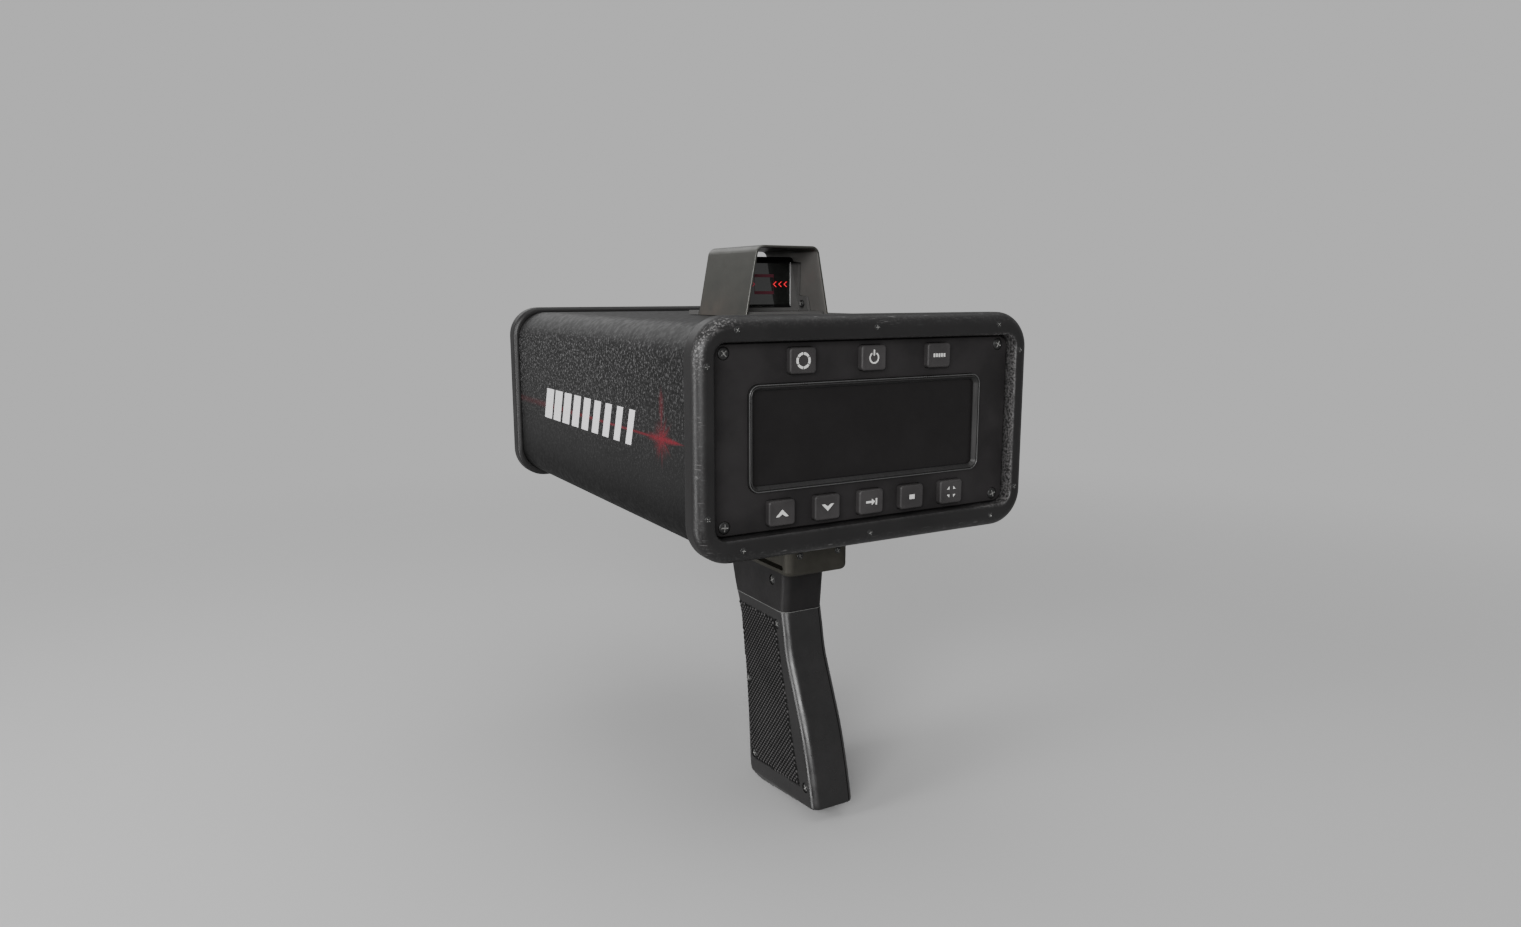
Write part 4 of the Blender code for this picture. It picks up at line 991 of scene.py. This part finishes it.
def hood_arch(depth, steps=10):
    """The hood's arch from foot to foot, at a depth below its outer face, as (x, z) points."""
    lean, radius = atan2(HOOD_LEAN, 1.0), HOOD_BEND - depth
    foot = hood_high.x - depth / cos(lean)
    centre_z = hood_high.z - depth - radius
    centre_x = foot - HOOD_LEAN * (centre_z - hood_low.z) - radius / cos(lean)
    bend = [(centre_x + radius * cos(a), centre_z + radius * sin(a))
            for a in (lean + (pi / 2 - lean) * i / steps for i in range(steps + 1))]
    right = [(foot, hood_low.z)] + bend
    return [(-x, z) for x, z in right] + right[::-1]


def sight_hood():
    """Bent sheet with rounded edges: its cross-section is swept along the arch."""
    middle, half = (hood_low.y + hood_high.y) / 2, (hood_high.y - hood_low.y) / 2
    section = [(v + HOOD_SHEET / 2, middle + u) for u, v in rounded(half, HOOD_SHEET / 2, 0.55, 4)]
    arches = {depth: hood_arch(depth) for depth, _ in section}
    count = len(arches[section[0][0]])
    bm = shaped(loft, [[(arches[depth][i][0], y, arches[depth][i][1]) for depth, y in section]
                       for i in range(count)])
    bmesh.ops.recalc_face_normals(bm, faces=bm.faces)
    # The inner faces of the walls get the lighter, painted-light look
    second_look(bm, lambda face: -face.normal.x * (1 if face.calc_center_median().x > 0 else -1) > 0.8)
    make_piece("sight_hood_sheet", bm, ["hood", "hood_inside"], stands_for=["sight_hood"])


def sight_frame():
    """Base plate, upright frame, lugs for the hood screws and an ear up each inner wall."""
    margin = HOOD_SHEET + 2 * GAP
    base_top, frame_top = hood_low.z + 2.5, upright_high.z
    frame_rear, frame_front = window_low.y - 1.0, window_high.y + 0.8
    inner, outer = upright_high.x - 2.6, upright_high.x
    rear, step, front = upright_low.y, hood_high.y + GAP, upright_high.y
    plan = [(-inner, rear), (inner, rear), (inner, step), (outer, step)]
    plan += arc((outer - 5.0, front - 5.0), 5.0, 0, 90, 6) + arc((-outer + 5.0, front - 5.0), 5.0, 90, 180, 6)
    plan += [(-outer, step), (-inner, step)]
    bm = shaped(loft, [[(x, y, z) for x, y in plan] for z in (hood_low.z, base_top)])
    low_half, high_half = hood_half_width(base_top) - margin, hood_half_width(frame_top) - margin
    face = [(-low_half, base_top - 1.0), (low_half, base_top - 1.0)]
    face += arc((high_half - 2.0, frame_top - 2.0), 2.0, 5, 90, 5)
    face += arc((-high_half + 2.0, frame_top - 2.0), 2.0, 90, 175, 5)
    upright = shaped(loft, [[(x, y, z) for x, z in face] for y in (frame_rear, frame_front)])
    bm = carved(bm, upright, "UNION")
    half, low, high = window_high.x + GAP, window_low.z - GAP, window_high.z + GAP
    opening, centre = (half, (high - low) / 2, 0.6), (0.0, (low + high) / 2)
    holes = shaped(loft, [upright_ring(opening, y, centre, 3) for y in (frame_rear - 1.0, frame_front + 1.0)])
    for side, word in SIDES:
        _, y, z = middle_of(f"hood_screw_{word}")
        wall = hood_half_width(z) - HOOD_SHEET
        middle = Vector((side * (wall - 1.4), 0, z))
        tilt = Matrix.Rotation(-side * atan2(HOOD_LEAN, 1.0), 4, "Y")
        shift = Matrix.Translation(middle) @ tilt @ Matrix.Translation(-middle)
        outline = [(y - 4.5, base_top - 1.0), (frame_rear + 1.0, base_top - 1.0),
                   (frame_rear + 1.0, frame_top - 2.0), (y - 1.5, frame_top - 3.0),
                   (frame_rear - 1.2, z + 5.0), (y - 4.5, z + 4.0)]
        ear = shaped(loft, [[shift @ Vector((middle.x + side * x, py, pz)) for py, pz in outline]
                            for x in (-0.8, 0.8)])
        bm = carved(bm, ear, "UNION")
        turned(holes, [(1.5, -3.4), (1.5, 3.0)], (side * wall, y, z), (side, 0, 0), 20)
    bm = carved(bm, holes)
    bmesh.ops.recalc_face_normals(bm, faces=bm.faces)
    # The faces of the window's right jamb that face left get the pale, painted-highlight look
    second_look(bm, lambda face: face.normal.x < -0.9 and abs(face.calc_center_median().x - half) < 0.5)
    make_piece("sight_window_frame", bm, ["frame", "jamb"], stands_for=["sight_frame"])


def sight_parts():
    """The smoked glass in its gasket, the lit aiming mark, the projector and the hood screws."""
    half_x, half_z = window_high.x, (window_high.z - window_low.z) / 2
    rear, front, middle = window_low.y, window_high.y, (window_low.z + window_high.z) / 2
    bm = shaped(loft, [upright_ring((half_x, half_z, 0.5), y, (0.0, middle), 3) for y in (rear, front)])
    make_piece("sight_pane", bm, "sight_glass", stands_for=["sight_glass"])
    face, centre = rear - 0.02, (0.0, middle - 0.2)
    for (side, word), look in zip(SIDES, ("lit_dim", "lit_red")):
        arrows = bmesh.new()
        for step in range(3):
            tip = 6.9 + 3.7 * step
            points = [(tip + 1.9, 1.6), (tip, 0.0), (tip + 1.9, -1.6), (tip + 1.15, -1.6), (tip - 0.75, 0.0),
                      (tip + 1.15, 1.6)]
            plate(arrows, [(side * u, v) for u, v in points], face, 0.08, centre)
        make_piece(f"sight_arrows_{word}", arrows, look)
    wide, tall, line, bar = 6.6, 5.0, 0.22, 1.8
    box = bmesh.new()
    for end in (-1, 1):
        plate(box, box_outline(0, end * tall, 2 * wide + line, bar), face, 0.06, centre)
    for end in (-1, 1):
        plate(box, box_outline(end * wide, 0, line, 2 * tall - 2 * line), face, 0.06, centre)
    make_piece("sight_box", box, "lit_faint")
    fit, bar, proud = 0.25, 0.8, 0.15
    gasket = bmesh.new()
    for low, high in ((window_low.z - fit, window_low.z + bar), (window_high.z - bar, window_high.z + fit)):
        block(gasket, (-half_x - fit, rear - proud, low), (half_x + fit, front + proud, high))
    make_piece("sight_gasket", gasket, "gasket")
    bm = from_node("sight_projector")
    soften(bm, 0.5)
    make_piece("sight_lamp", bm, "inner", stands_for=["sight_projector"])
    for side, word in SIDES:
        _, y, z = middle_of(f"hood_screw_{word}")
        face_x = hood_half_width(z) - HOOD_SHEET - 3.0
        screw(f"hood_screw_{word}_head", (side * face_x, y, z), (-side, 0, 0), HOOD_SCREW, 30,
              [f"hood_screw_{word}"])


# ------------------------------------------------------------------ bracket and neck
# height, half width, rear and front of the neck, from its top down
NECK_FLARE = [(neck_high.z, 15.0, 60.2, 129.9), (bracket_low.z, 15.0, 60.2, 129.9),
              (-92.5, 14.3, 60.9, 129.2), (-99.8, 14.0, 61.4, 128.0), (-108.0, 14.0, 62.2, 125.4),
              (neck_low.z, 14.0, 63.0, 122.7)]


def rail_bracket():
    """The mounting bracket with a round-ended slot along each side and a socket for the neck."""
    half, rear, front = bracket_high.x, bracket_low.y, bracket_high.y
    low, high = bracket_low.z, bracket_high.z
    corner, soft = 5.0, 3.2
    rings = [level_ring(half - u, rear + u, front - u, corner - u, low + v)
             for u, v in arc((soft, soft), soft, 270, 180, 8)]
    rings.append(level_ring(half, rear, front, corner, high))
    slot_low, slot_high, slot_rear, depth = low + 3.4, low + 6.2, rear + 5.2, 5.0
    middle, radius = (slot_low + slot_high) / 2, (slot_high - slot_low) / 2
    outline = arc((slot_rear + radius, middle), radius, 90, 270, 10)
    outline += [(front + 2.0, slot_low), (front + 2.0, slot_high)]
    tool = bmesh.new()
    for side in (-1, 1):
        loft(tool, [[(x, y, z) for y, z in outline] for x in (side * (half - depth), side * (half + 2.0))])
    _, head_half, head_rear, head_front = NECK_FLARE[0]
    loft(tool, [level_ring(head_half + GAP, head_rear - GAP, head_front + GAP, GRIP_RADIUS + GAP, z)
                for z in (low - 1.0, neck_high.z + GAP)])
    make_piece("bracket_block", carved(shaped(loft, rings), tool), "bracket",
               stands_for=["rail_bracket"])
    for side, word in SIDES:
        screw(f"bracket_screw_{word}", (side * 12.9, rear + 0.05, -76.6), (0, -1, 0), BRACKET_SCREW, 25)


def grip_neck():
    """The flared neck with the slot for the trigger and the holes for its pin and the neck screws."""
    bm = shaped(loft, [level_ring(half, rear, front, GRIP_RADIUS, z)
                       for z, half, rear, front in smoothed(NECK_FLARE, 5)])
    trigger_slot = (-6.4, 106.0, -113.0), (6.4, 133.0, -92.8)
    bm = carved(bm, shaped(block, *trigger_slot))
    _, pin_y, pin_z = middle_of("trigger_pin")
    holes = shaped(turned, [(1.8, -12.2), (1.8, 12.2)], (0, pin_y, pin_z), ACROSS, 24)
    for side, word in SIDES:
        _, y, z = middle_of(f"neck_screw_{word}")
        turned(holes, [(1.6, -8.0), (1.6, -1.4), (3.1, -1.4), (3.1, 1.0)], (side * GRIP_HALF, y, z),
               (side, 0, 0), 32)
        screw(f"neck_screw_{word}_head", (side * (GRIP_HALF - 1.1), y, z), (side, 0, 0), NECK_SCREW, 35,
              [f"neck_screw_{word}"])
    make_piece("neck_block", carved(bm, holes), "neck", stands_for=["grip_neck"])


# ------------------------------------------------------------------ grip
# half width, then the rear and the front end of each slanted section of the grip, as (y, z)
GRIP_SECTIONS = [(14.0, 62.3, SEAM - 0.15, 122.4, SEAM - 0.15),
                 (14.0, 60.0, -125.5, 118.0, -125.5),
                 (14.0, 56.4, -140.9, 114.5, -141.0),
                 (14.0, 48.7, -158.8, 111.0, -162.5),
                 (14.0, 39.0, -181.7, 108.6, -185.8),
                 (14.0, 32.3, -203.2, 106.8, -209.0),
                 (14.0, 28.0, -221.0, 105.3, -226.0),
                 (13.2, 28.5, -223.4, 102.0, -229.8),
                 (11.6, 30.7, -224.9, 95.6, -232.2)]


def slanted_ring(half_width, rear, front, radius, steps=10):
    """A rounded rectangle whose long axis runs from the point rear to the point front."""
    along = Vector(front) - Vector(rear)
    middle, unit = (Vector(front) + Vector(rear)) / 2, along.normalized()
    ring = []
    for u, v in rounded(half_width, along.length / 2, radius, steps):
        spot = middle + unit * v
        ring.append((u, spot.x, spot.y))
    return ring


def grip_rings(parts=6):
    rings = []
    for half, *ends in smoothed(GRIP_SECTIONS, parts):
        half = min(half, GRIP_HALF)
        radius = GRIP_RADIUS - max(0.0, 13.6 - half) * 0.6
        rings.append(slanted_ring(half, ends[:2], ends[2:], radius))
    return rings


def grip_slice(low_x, high_x):
    """The part of the grip's full shape that lies between two upright planes, where they are given."""
    bm = shaped(loft, grip_rings())
    for x, normal in ((low_x, (-1, 0, 0)), (high_x, ACROSS)):
        if x is None:
            continue
        everything = bm.verts[:] + bm.edges[:] + bm.faces[:]
        cut = bmesh.ops.bisect_plane(bm, geom=everything, plane_co=(x, 0, 0), plane_no=normal,
                                     clear_outer=True)
        rim = [item for item in cut["geom_cut"] if isinstance(item, bmesh.types.BMEdge)]
        bmesh.ops.edgeloop_fill(bm, edges=rim)
    return bm


def grip_base_frame():
    """Turns (x, along, up) on the grip's slanted foot into the body frame, from its rear edge."""
    _, rear_y, rear_z, front_y, front_z = GRIP_SECTIONS[-1]
    tilt = atan2(front_z - rear_z, front_y - rear_y)
    return Matrix.Translation((0, rear_y, rear_z)) @ Matrix.Rotation(tilt, 4, "X")


def battery_frame():
    """Turns (x, across, up) in the battery well into the body frame, from the well's foot."""
    foot, head = Vector((62.0, -227.0)), Vector((84.0, -135.0))
    tilt = atan2(head.y - foot.y, head.x - foot.x) - pi / 2
    return Matrix.Translation((0, foot.x, foot.y)) @ Matrix.Rotation(tilt, 4, "X")


def grip():
    """The core with its battery well and door seat, and the two side covers."""
    core_half, seams = 9.9, (0.04, 0.6)
    half, deep = span("battery_pack")[1].x + GAP, 18.6 + GAP
    core = carved(grip_slice(-core_half, core_half),
                  shaped(block, (-half, -deep, -10.0), (half, deep, 86.0), battery_frame()))
    seat_half, thick, start, hinge, end = span("battery_door")[1].x + GAP, 2.6, 6.9, 2.2, 54.0
    knuckle, base = hinge + GAP, grip_base_frame()
    core = carved(core, shaped(block, (-seat_half, start - knuckle, -2.0),
                               (seat_half, end + GAP, thick + GAP), base))
    holes = shaped(turned, [(knuckle, -seat_half), (knuckle, seat_half)], base @ Vector((0, start, hinge)),
                   ACROSS, 32)
    make_piece("grip_body", carved(core, holes), "grip", stands_for=["grip_core"])
    for (side, word), seam in zip(SIDES, seams):
        limit = side * (core_half + seam)
        tool = bmesh.new()
        for number in (1, 2, 3, 4):
            node = f"grip_screw_{word}_{number}"
            _, y, z = middle_of(node)
            turned(tool, [(1.6, -5.0), (1.6, -1.3), (3.0, -1.3), (3.0, 1.0)],
                   (side * GRIP_HALF, y, z), (side, 0, 0), 32)
            screw(f"{node}_head", (side * (GRIP_HALF - 1.0), y, z), (side, 0, 0), GRIP_SCREW,
                  18 + 29 * number, [node])
        cover = grip_slice(None, limit) if side < 0 else grip_slice(limit, None)
        make_piece(f"grip_cover_{word}", carved(cover, tool), "grip",
                   stands_for=[f"grip_panel_{word}"])
        grip_texture(side, word)


def grip_edges(z):
    """Y of the textured area's rear and front limit at height z."""
    rows = [(72.1, 116.9, -120.0), (70.2, 112.9, -128.1), (63.3, 108.6, -153.0), (58.6, 106.2, -166.1),
            (53.0, 104.2, -186.2), (47.2, 102.2, -203.7), (43.2, 100.6, -216.0), (40.6, 99.6, -224.0)]
    for upper, lower in zip(rows, rows[1:]):
        if z >= lower[2]:
            break
    share = (z - upper[2]) / (lower[2] - upper[2])
    return upper[0] + (lower[0] - upper[0]) * share, upper[1] + (lower[1] - upper[1]) * share


def texture_depth(y, z):
    """How far inside the textured area a point lies, in millimetres."""
    rear, front = grip_edges(z)
    top = SEAM - 6.0
    floor_z = -214.6 - (y - 46.0) * 0.085
    return min(y - rear, front - y, top - z, z - floor_z)


def fade(distance):
    """The texture's height, as a share, at a distance inside its limit."""
    return max(0.0, min(1.0, distance / TEXTURE_FADE))


def grip_texture(side, word):
    """Small pyramids in slanted rows over the flat of the cover, fading out at the area's limit."""
    # The wear attribute carries the crowns' share, and a lighter share along the area's border, for the
    # painted highlight
    pitch, height, base, reach, border_highlight = 2.2, 0.62, 0.03, 38, 0.36
    origin, tilt = Vector((80.0, -170.0)), radians(38)
    along = Vector((cos(tilt), sin(tilt))) * pitch / 2
    across = Vector((-sin(tilt), cos(tilt))) * pitch / 2
    screws = [Vector(middle_of(f"grip_screw_{word}_{number}")[1:]) for number in (1, 2, 3, 4)]
    grid = {}
    bm = bmesh.new()
    wear = bm.verts.layers.float.new("wear")

    def screw_distance(spot):
        return min((place - spot).length for place in screws) - SCREW_CLEAR

    def lattice(i, j):
        if (i, j) not in grid:
            spot = origin + along * i + across * j
            share = min(fade(texture_depth(spot.x, spot.y)), fade(screw_distance(spot)))
            peak = share if i % 2 == 0 and j % 2 == 0 else 0.0
            grid[i, j] = bm.verts.new((side * (GRIP_HALF + base + height * peak), spot.x, spot.y))
            grid[i, j][wear] = peak if share == 1.0 else border_highlight
        return grid[i, j]

    for i in range(-2 * reach, 2 * reach):
        for j in range(-2 * reach, 2 * reach):
            spot = origin + along * (i + 0.5) + across * (j + 0.5)
            if screw_distance(spot) < 0 or texture_depth(spot.x, spot.y) < -0.2:
                continue
            corners = [lattice(i, j), lattice(i + 1, j), lattice(i + 1, j + 1), lattice(i, j + 1)]
            if (i + j) % 2:
                corners = corners[1:] + corners[:1]
            bm.faces.new((corners[0], corners[1], corners[2]))
            bm.faces.new((corners[0], corners[2], corners[3]))
    faces = [face.verts[:] for face in bm.faces]
    rim = [edge.verts[:] for edge in bm.edges if edge.is_boundary]
    under = {}
    for vert in bm.verts[:]:
        under[vert] = bm.verts.new((side * (GRIP_HALF - 0.6), vert.co.y, vert.co.z))
        under[vert][wear] = vert[wear]
    for verts in faces:
        bm.faces.new([under[vert] for vert in reversed(verts)])
    for first, second in rim:
        bm.faces.new((first, second, under[second], under[first]))
    make_piece(f"grip_texture_{word}", bm, "knurl", sharp=20)


def seam_line():
    """The thin ridge between the neck and the grip, coloured pale as a painted highlight."""
    low, high = SEAM - 0.14, SEAM + 0.14
    sunk, edge, proud = -1.5, 0.06, 0.12
    rear, front = 62.7, 122.6
    section = ((sunk, low), (edge, low), (proud, (low + high) / 2), (edge, high), (sunk, high))
    rings = [level_ring(GRIP_HALF + u, rear - u, front + u, GRIP_RADIUS + u, z) for u, z in section]
    make_piece("neck_seam", shaped(loft, rings, closed=True), "seam")


def small_parts():
    """The battery door, the trigger and the two hinge pins, with softened edges."""
    bm = from_node("battery_door")
    soften(bm, 0.35)
    make_piece("battery_lid", bm, "grip", body="battery_door", stands_for=["battery_door"])
    for node in ("trigger_pin", "door_pin"):
        low, high = span(node)
        radius, half = (high.z - low.z) / 2, (high.x - low.x) / 2
        profile = [(radius - 0.2, -half), (radius, -half + 0.2), (radius, half - 0.2), (radius - 0.2, half)]
        make_piece(f"{node}_rod", shaped(turned, profile, middle_of(node), ACROSS, 24), "steel",
                   body=body_of_node(node), stands_for=[node])
    bm = from_node("trigger")
    soften(bm, 0.45, 3, 30)
    make_piece("trigger_lever", bm, "grip", body="trigger", stands_for=["trigger"])


def body_of_node(node):
    return next(body for body, empty in frame["bodies"].items() if frame["nodes"][node].parent == empty)


# ------------------------------------------------------------------ studio
def surroundings(seen, lit):
    """An even pale world: one strength where it is seen, a lower one where it lights the object."""
    world = bpy.data.worlds.new("studio")
    bpy.context.scene.world = world
    world.use_nodes = True
    nodes, links = world.node_tree.nodes, world.node_tree.links
    background = nodes["Background"]
    background.inputs["Color"].default_value = (1.0, 1.0, 1.0, 1.0)
    rays = nodes.new("ShaderNodeLightPath")
    strength = nodes.new("ShaderNodeMapRange")
    strength.inputs["To Min"].default_value, strength.inputs["To Max"].default_value = lit, seen
    links.new(rays.outputs["Is Camera Ray"], strength.inputs["Value"])
    links.new(strength.outputs["Result"], background.inputs["Strength"])


def stage():
    """A pale floor that fades into the pale surroundings, soft lights and the camera."""
    link = bpy.context.scene.collection.objects.link
    mesh = bpy.data.meshes.new("floor")
    bm = bmesh.new()
    bmesh.ops.create_circle(bm, cap_ends=True, segments=96, radius=6.0)
    bm.to_mesh(mesh)
    bm.free()
    floor = bpy.data.objects.new("floor", mesh)
    floor.location = (0.0, 0.0, cad_low.z)
    look = Look("pale_floor", (0.60, 0.60, 0.60), 0.85, specular=0.1)
    distance = look.add("ShaderNodeVectorMath", {0: look.place}, operation="LENGTH").outputs["Value"]
    look.set("Alpha", look.spread(distance, 0.40, 1.3, 1.0, 0.0))
    mesh.materials.append(look.material)
    link(floor)
    floor.visible_glossy = False
    surroundings(seen=0.55, lit=0.30)

    # name, place from the object's middle in metres, width, height, watts
    lights = [("key", (-1.3, 0.02, 0.0), 0.42, 1.9, 15.0), ("front", (-1.35, -1.45, 0.6), 1.2, 1.0, 38.0),
              ("back", (-0.35, 1.8, 1.1), 1.8, 0.9, 5.0), ("top", (0.2, -0.1, 2.1), 2.4, 2.4, 19.0)]
    middle = ZERO + Vector((0, 120, -60)) * MM
    for name, offset, wide, tall, power in lights:
        data = bpy.data.lights.new(name, "AREA")
        data.shape, data.size, data.size_y, data.energy = "RECTANGLE", wide, tall, power
        light = bpy.data.objects.new(name, data)
        light.location = middle + Vector(offset)
        light.rotation_euler = Vector(offset).to_track_quat("Z", "Y").to_euler()
        light.visible_camera = False
        link(light)

    data = bpy.data.cameras.new("camera")
    data.sensor_width, data.lens = 36.0, CAMERA_LENS
    camera = bpy.data.objects.new("camera", data)
    camera.location = ZERO + Vector(CAMERA_PLACE) * MM
    camera.rotation_euler = (radians(90 - CAMERA_TILT), 0.0, radians(CAMERA_TURN))
    link(camera)
    bpy.context.scene.camera = camera


dress_nodes()
body_shell()
bumper("rear_bumper_ring", "rear_bumper", lambda depth: depth - RECESS)
bumper("front_bumper_ring", "front_bumper", lambda depth: FRONT_FACE + RECESS - depth)
rear_panel()
panel_screws()
bumper_screws()
display()
keys()
side_graphic(-1, "left")
side_graphic(1, "right")
front_end()
sight_hood()
sight_frame()
sight_parts()
rail_bracket()
grip_neck()
seam_line()
grip()
small_parts()
stage()
